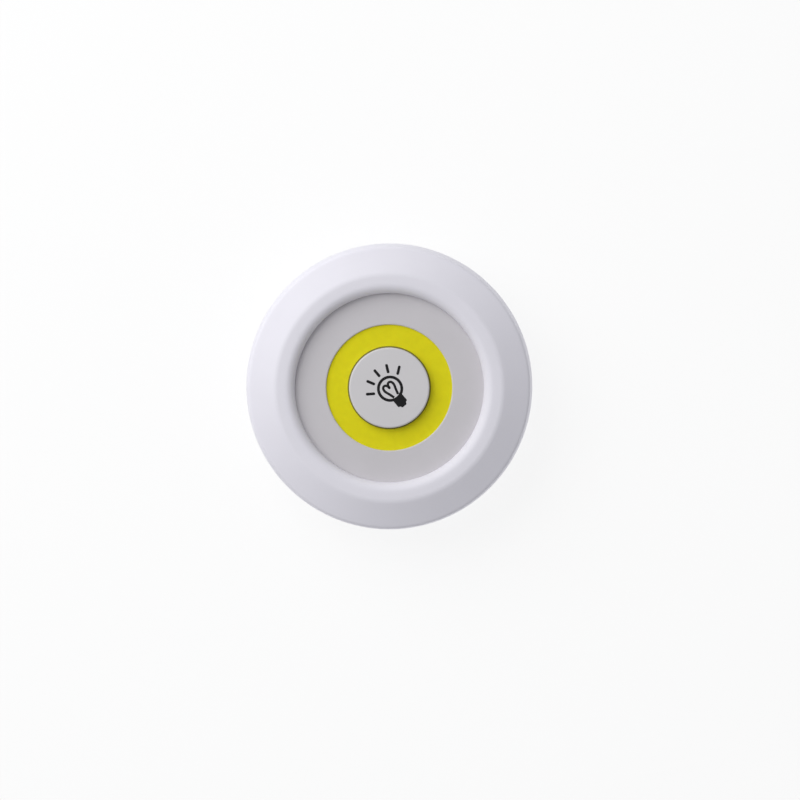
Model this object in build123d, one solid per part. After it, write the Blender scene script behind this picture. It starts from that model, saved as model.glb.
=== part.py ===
from build123d import *
import os
from math import atan, cos, pi, radians, sin, sqrt, tan

# A round battery cabinet light with a push button in its face, lying on its back.
# Lengths are in millimetres. The origin is the centre of the flat back face, +Z comes
# out of the lit face and +Y is the top of the light as it is looked at from the front.

# Bezel: the white front shell
BODY_R = 44.0  # outer radius, at the side wall's foot
BODY_H = 25.0  # back face to crest
SHELL_T = 1.8  # wall
EDGE_DROP = 3.7  # fall of the outer slope from crest to rim
SLOPE_W = 8.8  # the side wall's foot in to the crest
BAND_W = 3.2  # flat band
THROAT_W = 3.4  # rounding from the band down into the throat
THROAT_H = 0.5  # straight wall under the rounding
SIDE_DRAFT = 0.9  # how much narrower the side wall is at the rim

# Face panel: the flat ring inside the throat
PANEL_SEAT_W = 2.0  # panel hidden beyond the throat
PANEL_T = 1.6
PANEL_OVER = 0.2  # panel over the edge of the phosphor
LIP_W = 2.9  # width of the thin lip over the light ring
LIP_T = 0.6

# Ring light: a chip-on-board ring on an aluminium board, with shares of the throat's radius
PHOSPHOR_IN_SHARE = 0.444
PHOSPHOR_OUT_SHARE = 0.675
DAM_W = 0.6
BEAD_W = 0.5  # inner dam
DAM_H = 0.6
COB_T = 1.0
COB_RIM_W = 1.3  # bare board outside the outer dam
PAD_T = 0.2  # thermal pad under the board
CHIP_L = 1.4  # each light-emitting chip
CHIP_W = 0.8
CHIP_T = 0.2
CHIP_COUNT = 20
BLOB_W = 1.0  # solder on the ring board
BLOB_H = 0.4
TERMINAL_DEG = 10.0  # each lead hole either side of straight down

# Light carrier: the tray that holds the ring light and guides the button
CARRIER_T = 1.5
TRAY_WALL_T = 1.2
COLLAR_T = 0.6
COLLAR_TOP_GAP = 0.1  # collar top below the dams
COLLAR_DROP = 0.2  # collar below the tray's underside
EAR_R = 3.0
EAR_INSET = 8.8  # ears inside the side wall's foot
EAR_DEG = (90, 210, 330)
LEAD_HOLE_R = 0.9

# Button
BUTTON_OVER = 0.4  # head over the edge of the ring board
BUTTON_PROUD = 1.9  # head above the face panel
BUTTON_HEAD_T = 1.3
BUTTON_BEVEL = 0.35
BUTTON_TRAVEL = 1.2
SKIRT_T = 0.9
SKIRT_H = 3.3
BUTTON_FIT = 0.05  # radial running fit in the collar
LEG_W = 4.0
LEG_SLOT_W = 1.0
HOOK_H = 0.8
HOOK_REACH = 0.7
HOOK_GAP = 0.05
KEY_W = 1.5
KEY_GAP = 0.1
HUB_R = 2.4
HUB_H = 0.9
SPOKE_T = 0.8
SPOKE_H = 0.8
SPOKE_DEG = (45, 135, 225, 315)

# Push switch under the button
SWITCH_SIDE = 8.0
SWITCH_H = 3.6
PLUNGER_R = 1.8
PLUNGER_L = 3.6
PLUNGER_FIT = 0.05
SWITCH_FLOOR = 0.3
PIN_W = 0.6
PIN_H = 0.9

# Return spring round the plunger
SPRING_R = 3.3
SPRING_WIRE_R = 0.15
SPRING_TURNS = 2

# Circuit board and what is on it
PCB_W = 16.8
PCB_L_SHARE = 0.773  # length, of the body's radius
PCB_T = 1.0
PCB_LIFT = 0.6  # standoff height over the battery bay
PCB_SCREW_IN = 3.0  # screws inside the board's ends
DRIVER_W = 5.0
DRIVER_L = 4.0
DRIVER_H = 1.2
DRIVER_Y = 10.4
CAP_W = 3.2
CAP_L = 2.4
CAP_H = 1.3
CAP_X = -4.6
CAP_Y = -7.0
RESISTOR_W = 2.0
RESISTOR_L = 1.2
RESISTOR_H = 0.6
RESISTOR_ROW_Y = -6.4
RESISTOR_PITCH = 1.8
RESISTOR_X = 4.6
RESISTOR_COUNT = 3
BOARD_SPACE = 1.4  # circuit board up to the guide collar
BLOB_BIG_W = 1.8  # solder on the circuit board
BLOB_BIG_H = 0.8
LED_PAD_X = 2.0
LED_PAD_IN = 3.4  # pads inside the board's ends
BATTERY_PAD_IN = 2.2
LEAD_RUN = 4.6  # battery tab across to its pad
LEAD_R = 0.5
LEAD_BEND_R = 1.7
LEAD_SWEEP_R = 3.0
LEAD_LIFT = 0.05  # lead clear of the board's face

# Batteries: three AAA cells side by side
AAA_R = 5.25
CELL_L = 44.5
NUB_SHARE = 0.362  # nub radius, of the cell's
NUB_H = 0.8
CELL_STEP_W = 0.4  # rolled shoulder of the can
CELL_APART = 0.5
CELL_COUNT = 3
CELL_FLOOR = 0.3  # cell above the door
CELL_ROOF = 0.3  # cell below the bay's ceiling
CELL_SIDE = 0.35

# Contacts, with shares of the cell's radius
PLATE_T = 0.35
PLATE_W_SHARE = 0.8  # half a plate's width
PLATE_H_SHARE = 0.667  # half a plate's height
DIMPLE_H = 0.6
DIMPLE_SHARE = 0.42
DIMPLE_TAPER = 45
TAB_W = 2.6
TAB_RISE = 1.8  # tab above the bay's ceiling
COIL_FOOT_SHARE = 0.61
COIL_TIP_SHARE = 0.38
COIL_WIRE_R = 0.25
COIL_TURNS = 2
COIL_L = 3.4
COIL_GAP = 0.03

# Rear housing: the back shell with the battery bay
BASE_INSET = 0.3  # back shell inside the side wall's foot
BASE_T = 2.0
BASE_BEVEL = 0.8
LIP_RING_T = 1.2
LIP_RING_H = 3.0
LIP_RING_FIT = 0.3
BAY_WALL = 1.6
BAY_CEILING = 1.2
LEDGE_W = 0.8
FIN_T = 0.8
FIN_SHARE = 0.63  # how far the fins hang between the cells, of the cell's radius
RAIL_W = 0.8
RAIL_D = 1.0
RIB_T = 1.2
RIB_H = 3.0
RIB_DEG = (22, 68, 112, 158, 202, 248, 292, 338)

# Screws: four through the back, three in the light carrier, two in the circuit board
POST_INSET = 8.0  # screw posts inside the side wall's foot
POST_DEG = (45, 135, 225, 315)
POST_R = 4.1
POST_H = 9.0
POST_HEAD_R = 2.9
POST_HEAD_DEPTH = 6.5
POST_HOLE_R = 1.5
BOSS_R = 3.0
CASE_SHANK_R = 1.2
CASE_SHANK_L = 9.5
CASE_HEAD_R = 2.6
CASE_HEAD_H = 1.8
SMALL_SHANK_R = 0.85
SMALL_SHANK_L = 4.4
SMALL_HEAD_R = 1.7
SMALL_HEAD_H = 1.2
EAR_BOSS_R = 2.4
PCB_SHANK_L = 3.4
PCB_HEAD_R = 1.6
PCB_HEAD_H = 1.1
PCB_BOSS_R = 1.6
PCB_PAD_R = 2.2
THREAD_GAP = 0.05  # shank to pilot hole, radial
PILOT_SPARE = 0.6  # pilot hole beyond the screw's tip
CLEARANCE = 0.15  # shank to clearance hole, radial

# Keyholes for hanging
KEYHOLE_X = 29.0
KEYHOLE_R = 3.75
KEYHOLE_SLOT_R = 1.9
KEYHOLE_RISE = 5.0

# Battery door
DOOR_T = 1.4
DOOR_SUNK = 0.3  # outer face inside the back plane
DOOR_GAP = 0.2
DOOR_LEDGE_GAP = 0.05
TONGUE_W = 3.6
TONGUE_X = 5.5
TONGUE_STEM = 1.2
TONGUE_REACH = 2.0
TONGUE_T = 1.15
TONGUE_OVER = 0.05  # tongue above the housing's back wall
WINDOW_SIDE = 0.3
WINDOW_H = 1.9
DOOR_RIB_T = 1.0
DOOR_RIB_H = 1.5
DOOR_RIB_L = 40.0
PIVOT_OUT = 0.1  # hinge line outside the door's edge
PIVOT_UP = 0.15  # hinge line above the back plane
CATCH_W = 11.0
CATCH_L = 5.2  # thumb bay beyond the bay's end
CATCH_T = 0.8
CATCH_H = 4.6
CATCH_INSET = 0.2  # outer leg inside the thumb bay
CATCH_SLIT = 0.8
POCKET_H = 8.0
POCKET_WALL = 1.2
BARB_UP = 0.15
BARB_H = 0.9
BARB_REACH = 0.22
KEEPER_D = 0.6
KEEPER_H = 1.6

OVERRUN = 1.0  # cuts run this far past a face
WIRE_SIDES = 6  # faceted leads
SPRING_SIDES = 4  # faceted springs
SMALL_SIDES = 8  # faceted small fasteners and dimples
POST_SIDES = 16  # faceted posts, bosses and their holes
CELL_SIDES = 24  # faceted cells

# The stack from the door up to the face panel is fitted to the depth of the body
FACE_Z = BODY_H - THROAT_W - THROAT_H
DOOR_IN_Z = DOOR_SUNK + DOOR_T
LIGHT_STACK = CARRIER_T + PAD_T + COB_T + DAM_H + LIP_T
BOARD_STACK = BAY_CEILING + PCB_LIFT + PCB_T + BOARD_SPACE + COLLAR_DROP
CELL_STACK = CELL_FLOOR + 2 * AAA_R + CELL_ROOF
STACK_SHARE = (FACE_Z - DOOR_IN_Z) / (LIGHT_STACK + BOARD_STACK + CELL_STACK)

# Heights that follow from the stack
PANEL_BACK_Z = FACE_Z - PANEL_T * STACK_SHARE
DAM_TOP_Z = FACE_Z - LIP_T * STACK_SHARE
COB_TOP_Z = DAM_TOP_Z - DAM_H * STACK_SHARE
COB_BACK_Z = COB_TOP_Z - COB_T * STACK_SHARE
TRAY_TOP_Z = COB_BACK_Z - PAD_T * STACK_SHARE
TRAY_BACK_Z = TRAY_TOP_Z - CARRIER_T * STACK_SHARE
COLLAR_BACK_Z = TRAY_BACK_Z - COLLAR_DROP * STACK_SHARE
COLLAR_TOP_Z = DAM_TOP_Z - COLLAR_TOP_GAP
BUTTON_TOP_Z = FACE_Z + BUTTON_PROUD * STACK_SHARE
HEAD_BACK_Z = BUTTON_TOP_Z - BUTTON_HEAD_T * STACK_SHARE
HUB_BACK_Z = HEAD_BACK_Z - HUB_H * STACK_SHARE
RECESS_Z = DOOR_IN_Z + DOOR_LEDGE_GAP
CELL_Z = DOOR_IN_Z + (CELL_FLOOR + AAA_R) * STACK_SHARE
CEILING_Z = CELL_Z + (AAA_R + CELL_ROOF) * STACK_SHARE
BAY_TOP_Z = CEILING_Z + BAY_CEILING * STACK_SHARE
PCB_BACK_Z = BAY_TOP_Z + PCB_LIFT * STACK_SHARE
PCB_TOP_Z = PCB_BACK_Z + PCB_T * STACK_SHARE
SWITCH_TOP_Z = PCB_TOP_Z + SWITCH_H * STACK_SHARE
LEAD_Z = PCB_TOP_Z + LEAD_R + LEAD_LIFT
HOOK_TOP_Z = COLLAR_BACK_Z - HOOK_GAP

# Radii that follow from the body and the fits
CREST_R = BODY_R - SLOPE_W
BAND_R = CREST_R - BAND_W
THROAT_R = BAND_R - THROAT_W
PHOSPHOR_IN_R = THROAT_R * PHOSPHOR_IN_SHARE
PHOSPHOR_OUT_R = THROAT_R * PHOSPHOR_OUT_SHARE
POST_RING_R = BODY_R - POST_INSET
EAR_RING_R = BODY_R - EAR_INSET
PANEL_R = THROAT_R + PANEL_SEAT_W
TRAY_IN_R = PANEL_R + CLEARANCE
TRAY_R = TRAY_IN_R + TRAY_WALL_T
PANEL_HOLE_R = PHOSPHOR_OUT_R - PANEL_OVER
LIP_R = PANEL_HOLE_R + LIP_W
COB_R = PHOSPHOR_OUT_R + DAM_W + COB_RIM_W
BOARD_BORE_R = PHOSPHOR_IN_R - BEAD_W
BUTTON_R = BOARD_BORE_R + BUTTON_OVER
COLLAR_R = BOARD_BORE_R - CLEARANCE
COLLAR_IN_R = COLLAR_R - COLLAR_T
SKIRT_R = COLLAR_IN_R - BUTTON_FIT
SKIRT_IN_R = SKIRT_R - SKIRT_T
TERMINAL_R = COB_R - COB_RIM_W / 2
WALL_IN_R = BODY_R - SHELL_T
RIM_R = BODY_R - SIDE_DRAFT
BASE_R = BODY_R - BASE_INSET
LIP_RING_R = WALL_IN_R - LIP_RING_FIT
SLANT = atan(EDGE_DROP / (RIM_R - CREST_R))

# Cells and contacts
CELL_R = AAA_R * STACK_SHARE
CELL_PITCH = 2 * CELL_R + CELL_APART
PLATE_HALF_W = CELL_R * PLATE_W_SHARE
PLATE_HALF_H = CELL_R * PLATE_H_SHARE
COIL_FOOT_R = CELL_R * COIL_FOOT_SHARE
COIL_TIP_R = CELL_R * COIL_TIP_SHARE

# Circuit board
PCB_L = BODY_R * PCB_L_SHARE
PCB_SCREW_X = CELL_PITCH / 2
PCB_SCREW_Y = PCB_L / 2 - PCB_SCREW_IN
LED_PAD_Y = LED_PAD_IN - PCB_L / 2
BATTERY_PAD_X = CELL_PITCH - LEAD_RUN
BATTERY_PAD_Y = PCB_L / 2 - BATTERY_PAD_IN

# Battery bay, half sizes
BAY_X = CELL_PITCH * (CELL_COUNT - 1) / 2 + CELL_R + CELL_SIDE
BAY_Y = (CELL_L + COIL_L + PLATE_T + DIMPLE_H + PLATE_T) / 2
RECESS_X = BAY_X + LEDGE_W
RECESS_Y = BAY_Y + LEDGE_W
POCKET_X = CATCH_W / 2 + DOOR_GAP
POCKET_Y = RECESS_Y + CATCH_L
PIVOT_Y = -(RECESS_Y - DOOR_GAP) - PIVOT_OUT


def block(x0, x1, y0, y1, z0, z1):
    """Box between two opposite corners."""
    size = Box(x1 - x0, y1 - y0, z1 - z0)
    return Pos((x0 + x1) / 2, (y0 + y1) / 2, (z0 + z1) / 2) * size


def rod(x, y, z0, z1, radius):
    """Upright cylinder."""
    return Pos(x, y, (z0 + z1) / 2) * Cylinder(radius, z1 - z0)


def stud(x, y, z0, z1, radius, sides=SMALL_SIDES):
    """Upright faceted pin."""
    return Pos(x, y, z0) * extrude(RegularPolygon(radius, sides), z1 - z0)


def post(x, y, z0, z1, radius):
    """Upright faceted post, boss or hole."""
    return stud(x, y, z0, z1, radius, POST_SIDES)


def around(ring_r, angle):
    """Point on a circle about the origin."""
    return ring_r * cos(radians(angle)), ring_r * sin(radians(angle))


def spun(*corners):
    """Solid turned about Z from corners, each a radius, a height and a rounding."""
    points = [(corner[0], 0, corner[1]) for corner in corners]
    rounding = [corner[2] if len(corner) == 3 else 0 for corner in corners]
    outline = FilletPolyline(*points, radius=rounding, close=True)
    return revolve(make_face(outline), Axis.Z)


def hoop(inner_r, outer_r, z0, z1):
    """Flat ring of rectangular section."""
    return spun((inner_r, z0), (outer_r, z0), (outer_r, z1), (inner_r, z1))


def tube(points, bends, radius):
    """Faceted wire along straight runs joined by arcs."""
    path = FilletPolyline(*points, radius=bends)
    start = Plane(origin=path @ 0, z_dir=path % 0)
    return sweep(start * RegularPolygon(radius, WIRE_SIDES), path=path)


def helix_state(share, turns, height, foot_r, tip_r):
    """Point and direction on a rising coil at a share of its length."""
    angle = share * turns * 2 * pi
    radius = foot_r + (tip_r - foot_r) * share
    shrink = (tip_r - foot_r) / (turns * 2 * pi)
    point = Vector(radius * cos(angle), radius * sin(angle), height * share)
    along = Vector(
        shrink * cos(angle) - radius * sin(angle),
        shrink * sin(angle) + radius * cos(angle),
        height / (turns * 2 * pi),
    )
    return point, along.normalized()


def biarc(start, start_dir, end, end_dir):
    """Two tangent arcs between two points with given directions."""
    gap = end - start
    both = start_dir + end_dir
    turn = 2 * (1 - start_dir.dot(end_dir))
    reach = (sqrt(gap.dot(both) ** 2 + turn * gap.dot(gap)) - gap.dot(both)) / turn
    first, second = start + start_dir * reach, end - end_dir * reach
    middle = (first + second) * (1 / 2)
    return [
        TangentArc(start, middle, tangent=start_dir),
        TangentArc(middle, end, tangent=second - first),
    ]


def coil(turns, height, foot_r, tip_r, wire_r):
    """One unbroken wire wound up +Z from the origin, in arcs of a quarter turn."""
    steps = 2 * turns
    states = [helix_state(i / steps, turns, height, foot_r, tip_r) for i in range(steps + 1)]
    arcs = []
    for (start, start_dir), (end, end_dir) in zip(states, states[1:]):
        arcs += biarc(start, start_dir, end, end_dir)
    path = Wire(arcs)
    start, along = states[0]
    section = Plane(origin=start, z_dir=along) * RegularPolygon(wire_r, SPRING_SIDES)
    return sweep(section, path=path)


def coil_gap(turns, height, foot_r, tip_r, wire_r):
    """Least gap between neighbouring turns of a coil."""
    pitch = height / turns
    shrink = (foot_r - tip_r) / turns
    return sqrt(pitch**2 + shrink**2) - 2 * wire_r


def slope_z(radius, depth):
    """Height of the bezel's slope at a radius, a depth below its surface."""
    return BODY_H - (radius - CREST_R) * tan(SLANT) - depth / cos(SLANT)


def under_skin(depth):
    """Everything below the bezel's skin at a depth, for trimming bosses."""
    rim_r = RIM_R - depth
    return spun(
        (0, BASE_T),
        (BODY_R - depth, BASE_T),
        (rim_r, slope_z(rim_r, depth)),
        (CREST_R - depth * tan(SLANT / 2), BODY_H - depth),
        (0, BODY_H - depth),
    )


def bezel_shell():
    """Side wall, sloping rim, flat band and rounded throat in one skin."""
    inner_r = RIM_R - SHELL_T
    inside = BODY_H - SHELL_T
    return spun(
        (BODY_R, BASE_T),
        (RIM_R, BODY_H - EDGE_DROP),
        (CREST_R, BODY_H),
        (THROAT_R, BODY_H, THROAT_W),
        (THROAT_R, FACE_Z),
        (THROAT_R + SHELL_T, FACE_Z),
        (THROAT_R + SHELL_T, BODY_H - THROAT_W),
        (BAND_R, inside),
        (CREST_R - SHELL_T * tan(SLANT / 2), inside),
        (inner_r, slope_z(inner_r, SHELL_T)),
        (WALL_IN_R, BASE_T),
    )


def front_bezel():
    """Bezel shell with the bosses that the case and carrier screws enter."""
    part = bezel_shell()
    skin = under_skin(SHELL_T / 2)
    holes = []
    for angle in POST_DEG:
        x, y = around(POST_RING_R, angle)
        web = block(0, BODY_R - POST_RING_R, -RIB_T / 2, RIB_T / 2, BODY_H / 2, BODY_H)
        part += post(x, y, POST_H, BODY_H, BOSS_R) & skin
        part += (Pos(x, y, 0) * Rot(0, 0, angle) * web) & skin
        tip = POST_HEAD_DEPTH + CASE_SHANK_L + PILOT_SPARE
        holes.append(post(x, y, POST_H - OVERRUN, tip, CASE_SHANK_R + THREAD_GAP))
    for angle in EAR_DEG:
        x, y = around(EAR_RING_R, angle)
        part += post(x, y, TRAY_TOP_Z, BODY_H, EAR_BOSS_R) & skin
        tip = TRAY_BACK_Z + SMALL_SHANK_L + PILOT_SPARE
        holes.append(post(x, y, TRAY_TOP_Z - OVERRUN, tip, SMALL_SHANK_R + THREAD_GAP))
    for hole in holes:
        part -= hole
    return part


def face_panel():
    """Flat ring with a thin inner lip over the light ring's outer dam."""
    return spun(
        (PANEL_HOLE_R, DAM_TOP_Z),
        (LIP_R, DAM_TOP_Z),
        (LIP_R, PANEL_BACK_Z),
        (PANEL_R, PANEL_BACK_Z),
        (PANEL_R, FACE_Z),
        (PANEL_HOLE_R, FACE_Z),
    )


def terminal_points(ring_r):
    """The two lead places on the ring light, either side of straight down."""
    return [around(ring_r, -90 + side * TERMINAL_DEG) for side in (1, -1)]


def light_carrier():
    """Tray for the ring light, with a slotted guide collar and three ears."""
    seat_r = LIP_R + CLEARANCE
    part = spun(
        (COLLAR_IN_R, COLLAR_BACK_Z),
        (COLLAR_R, COLLAR_BACK_Z),
        (COLLAR_R, TRAY_BACK_Z),
        (TRAY_R, TRAY_BACK_Z),
        (TRAY_R, FACE_Z),
        (TRAY_IN_R, FACE_Z),
        (TRAY_IN_R, PANEL_BACK_Z),
        (seat_r, PANEL_BACK_Z),
        (seat_r, TRAY_TOP_Z),
        (COLLAR_R, TRAY_TOP_Z),
        (COLLAR_R, COLLAR_TOP_Z),
        (COLLAR_IN_R, COLLAR_TOP_Z),
    )
    for angle in EAR_DEG:
        x, y = around(EAR_RING_R, angle)
        neck = block(TRAY_IN_R, EAR_RING_R, -EAR_R, EAR_R, TRAY_BACK_Z, TRAY_TOP_Z)
        part += rod(x, y, TRAY_BACK_Z, TRAY_TOP_Z, EAR_R) + Rot(0, 0, angle) * neck
    for angle in EAR_DEG:
        x, y = around(EAR_RING_R, angle)
        hole_r = SMALL_SHANK_R + CLEARANCE
        part -= post(x, y, TRAY_BACK_Z - OVERRUN, TRAY_TOP_Z + OVERRUN, hole_r)
    for x, y in terminal_points(TERMINAL_R):
        part -= post(x, y, TRAY_BACK_Z - OVERRUN, TRAY_TOP_Z + OVERRUN, LEAD_HOLE_R)
    key = KEY_W / 2 + KEY_GAP
    leg = LEG_W / 2 + KEY_GAP
    top = COLLAR_TOP_Z + OVERRUN
    for side in (1, -1):
        near, far = sorted((side * SKIRT_IN_R, side * COLLAR_R))
        part -= block(-key, key, near, far, TRAY_TOP_Z, top)
        part -= block(near, far, -leg, leg, COLLAR_BACK_Z - OVERRUN, TRAY_BACK_Z)
    return part


def thermal_pad():
    """Thin pad between the ring board and its tray, inside the two leads."""
    return hoop(BOARD_BORE_R, TERMINAL_R - LEAD_R - CLEARANCE, TRAY_TOP_Z, COB_BACK_Z)


def cob_board():
    """Aluminium ring that the light-emitting chips sit on."""
    return hoop(BOARD_BORE_R, COB_R, COB_BACK_Z, COB_TOP_Z)


def led_chips():
    """Chips in two staggered circles under the phosphor."""
    width = PHOSPHOR_OUT_R - PHOSPHOR_IN_R
    chips = []
    for i in range(CHIP_COUNT):
        ring_r = PHOSPHOR_IN_R + width * (1 + i % 2) / 3
        chip = block(-CHIP_W / 2, CHIP_W / 2, -CHIP_L / 2, CHIP_L / 2, 0, CHIP_T)
        chips.append(Rot(0, 0, 360 * i / CHIP_COUNT) * Pos(ring_r, 0, COB_TOP_Z) * chip)
    return chips


def phosphor_ring():
    """Yellow silicone fill between the dams, moulded over the chips."""
    part = hoop(PHOSPHOR_IN_R, PHOSPHOR_OUT_R, COB_TOP_Z, DAM_TOP_Z)
    for chip in led_chips():
        part -= chip
    return part


def inner_dam():
    """Silicone bead inside the phosphor."""
    return hoop(BOARD_BORE_R, PHOSPHOR_IN_R, COB_TOP_Z, DAM_TOP_Z)


def outer_dam():
    """Silicone bead outside the phosphor, under the panel's lip."""
    return hoop(PHOSPHOR_OUT_R, PHOSPHOR_OUT_R + DAM_W, COB_TOP_Z, DAM_TOP_Z)


def solder_joints():
    """Solder on the ring board and on the circuit board."""
    spots = [
        Pos(x, y, COB_TOP_Z + BLOB_H / 2) * Box(BLOB_W, BLOB_W, BLOB_H)
        for x, y in terminal_points(TERMINAL_R)
    ]
    pads = [(LED_PAD_X, LED_PAD_Y), (-LED_PAD_X, LED_PAD_Y)]
    pads += [(-BATTERY_PAD_X, BATTERY_PAD_Y), (BATTERY_PAD_X, -BATTERY_PAD_Y)]
    for x, y in pads:
        blob = Box(BLOB_BIG_W, BLOB_BIG_W, BLOB_BIG_H)
        spots.append(Pos(x, y, PCB_TOP_Z + BLOB_BIG_H / 2) * blob)
    return spots


def button_cap():
    """Round cap with a guide skirt, two snap legs, two keys and a hub."""
    skirt_foot = HEAD_BACK_Z - SKIRT_H * STACK_SHARE
    hook_foot = HOOK_TOP_Z - HOOK_H
    part = spun(
        (0, HEAD_BACK_Z),
        (SKIRT_IN_R, HEAD_BACK_Z),
        (SKIRT_IN_R, skirt_foot),
        (SKIRT_R, skirt_foot),
        (SKIRT_R, HEAD_BACK_Z),
        (BUTTON_R, HEAD_BACK_Z),
        (BUTTON_R, BUTTON_TOP_Z - BUTTON_BEVEL),
        (BUTTON_R - BUTTON_BEVEL, BUTTON_TOP_Z),
        (0, BUTTON_TOP_Z),
    )
    reach = block(SKIRT_IN_R - SKIRT_T, BUTTON_R, -LEG_W / 2, LEG_W / 2, hook_foot, HEAD_BACK_Z)
    leg = hoop(SKIRT_IN_R, SKIRT_R, hook_foot, HEAD_BACK_Z)
    leg += hoop(SKIRT_IN_R, SKIRT_R + HOOK_REACH, hook_foot, HOOK_TOP_Z)
    for side in (0, 180):
        part += Rot(0, 0, side) * (leg & reach)
        part += Rot(0, 0, side + 90) * block(
            SKIRT_IN_R,
            COLLAR_R - CLEARANCE,
            -KEY_W / 2,
            KEY_W / 2,
            TRAY_TOP_Z + BUTTON_TRAVEL * STACK_SHARE + KEY_GAP,
            HEAD_BACK_Z,
        )
    for side in (0, 180):
        for edge in (1, -1):
            slit_y = edge * (LEG_W + LEG_SLOT_W) / 2
            slit = block(
                SKIRT_IN_R - SKIRT_T,
                COLLAR_R,
                slit_y - LEG_SLOT_W / 2,
                slit_y + LEG_SLOT_W / 2,
                skirt_foot - OVERRUN,
                HEAD_BACK_Z - SPOKE_H,
            )
            part -= Rot(0, 0, side) * slit
    part += rod(0, 0, HUB_BACK_Z, HEAD_BACK_Z, HUB_R)
    spoke = block(SPRING_R + SPOKE_T, SKIRT_IN_R, -SPOKE_T / 2, SPOKE_T / 2,
                  HEAD_BACK_Z - SPOKE_H, HEAD_BACK_Z)
    for angle in SPOKE_DEG:
        part += Rot(0, 0, angle) * spoke
    return part


def switch_plunger():
    """Plunger of the push switch."""
    return rod(0, 0, HUB_BACK_Z - PLUNGER_L * STACK_SHARE, HUB_BACK_Z, PLUNGER_R)


def switch_body():
    """Square switch case with a blind bore for the plunger and side pins."""
    half = SWITCH_SIDE / 2
    part = block(-half, half, -half, half, PCB_TOP_Z, SWITCH_TOP_Z)
    bore_z = PCB_TOP_Z + SWITCH_FLOOR
    part -= rod(0, 0, bore_z, SWITCH_TOP_Z + OVERRUN, PLUNGER_R + PLUNGER_FIT)
    for side in (1, -1):
        for x in (-half / 2, half / 2):
            near, far = sorted((side * half, side * (half + PIN_H)))
            pin_x = x - PIN_W / 2
            part += block(pin_x, pin_x + PIN_W, near, far, PCB_TOP_Z, PCB_TOP_Z + PIN_W / 2)
    return part


def return_spring():
    """Coil that lifts the button, between the switch case and the cap."""
    height = HEAD_BACK_Z - SWITCH_TOP_Z - 2 * SPRING_WIRE_R - 2 * COIL_GAP
    wire = coil(SPRING_TURNS, height, SPRING_R, SPRING_R, SPRING_WIRE_R)
    gap = coil_gap(SPRING_TURNS, height, SPRING_R, SPRING_R, SPRING_WIRE_R)
    print("return spring least gap", round(gap, 2))
    return Pos(0, 0, SWITCH_TOP_Z + SPRING_WIRE_R + COIL_GAP) * wire


def pcb_screw_places():
    """Opposite corners of the circuit board, where it is screwed down."""
    return [(PCB_SCREW_X, PCB_SCREW_Y), (-PCB_SCREW_X, -PCB_SCREW_Y)]


def circuit_board():
    """Rectangular board over the battery bay."""
    part = block(-PCB_W / 2, PCB_W / 2, -PCB_L / 2, PCB_L / 2, PCB_BACK_Z, PCB_TOP_Z)
    for x, y in pcb_screw_places():
        part -= post(x, y, PCB_BACK_Z - OVERRUN, PCB_TOP_Z + OVERRUN, SMALL_SHANK_R + CLEARANCE)
    return part


def chip_box(x, y, width, length, height):
    """Plain surface-mounted part on the circuit board."""
    top = PCB_TOP_Z + height * STACK_SHARE
    return block(x - width / 2, x + width / 2, y - length / 2, y + length / 2, PCB_TOP_Z, top)


def driver_chip():
    """Driver in a small moulded case with three legs a side."""
    part = chip_box(0, DRIVER_Y, DRIVER_W, DRIVER_L, DRIVER_H)
    for x in (-DRIVER_W / 3, 0, DRIVER_W / 3):
        part += chip_box(x, DRIVER_Y, PIN_W, DRIVER_L + 2 * PIN_H, DRIVER_H / 3)
    return part


def chip_resistors():
    """Row of chip resistors beside the switch."""
    return [
        chip_box(RESISTOR_X, RESISTOR_ROW_Y - i * RESISTOR_PITCH, RESISTOR_W, RESISTOR_L,
                 RESISTOR_H)
        for i in range(RESISTOR_COUNT)
    ]


def capacitor():
    """Chip capacitor."""
    return chip_box(CAP_X, CAP_Y, CAP_W, CAP_L, CAP_H)


def led_lead(side):
    """Lead from the circuit board up through the tray to the ring board."""
    x, y = terminal_points(TERMINAL_R)[side]
    pad_x = LED_PAD_X if x > 0 else -LED_PAD_X
    start = (pad_x, LED_PAD_Y - BLOB_BIG_W / 2 - CLEARANCE, LEAD_Z)
    return tube([start, (x, y, LEAD_Z), (x, y, COB_BACK_Z)], [LEAD_BEND_R], LEAD_R)


def contact_face():
    """Inner face of a contact plate, from the middle of the bay."""
    return BAY_Y - PLATE_T


def battery_lead():
    """Lead from the positive contact's tab to the circuit board."""
    tab_x = CELL_PITCH * (CELL_COUNT - 1) / 2
    start_z = BAY_TOP_Z + TAB_RISE - LEAD_R - LEAD_LIFT
    end_x = BATTERY_PAD_X + BLOB_BIG_W / 2 + LEAD_LIFT
    points = [
        (-tab_x, contact_face() - LEAD_LIFT, start_z),
        (-tab_x, BATTERY_PAD_Y, LEAD_Z),
        (-end_x, BATTERY_PAD_Y, LEAD_Z),
    ]
    return tube(points, [LEAD_SWEEP_R], LEAD_R)


def cell_x(index):
    """Centre of a cell across the bay."""
    return CELL_PITCH * (index - (CELL_COUNT - 1) / 2)


def cell_turn(index):
    """Alternate cells point opposite ways, the first with its nub at +Y."""
    return 0 if index % 2 == 0 else 180


def battery_cell(index):
    """AAA cell with its nub and rolled shoulder, lying along Y."""
    can = CELL_L - NUB_H
    nub_r = CELL_R * NUB_SHARE
    cell = stud(0, 0, 0, can - CELL_STEP_W, CELL_R, CELL_SIDES)
    cell += stud(0, 0, 0, can, CELL_R - CELL_STEP_W, CELL_SIDES)
    cell += stud(0, 0, 0, CELL_L, nub_r, CELL_SIDES)
    nub_y = contact_face() - DIMPLE_H
    lying = Pos(0, nub_y - CELL_L, 0) * Rot(-90, 0, 0) * cell
    return Pos(cell_x(index), 0, CELL_Z) * Rot(0, 0, cell_turn(index)) * lying


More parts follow.
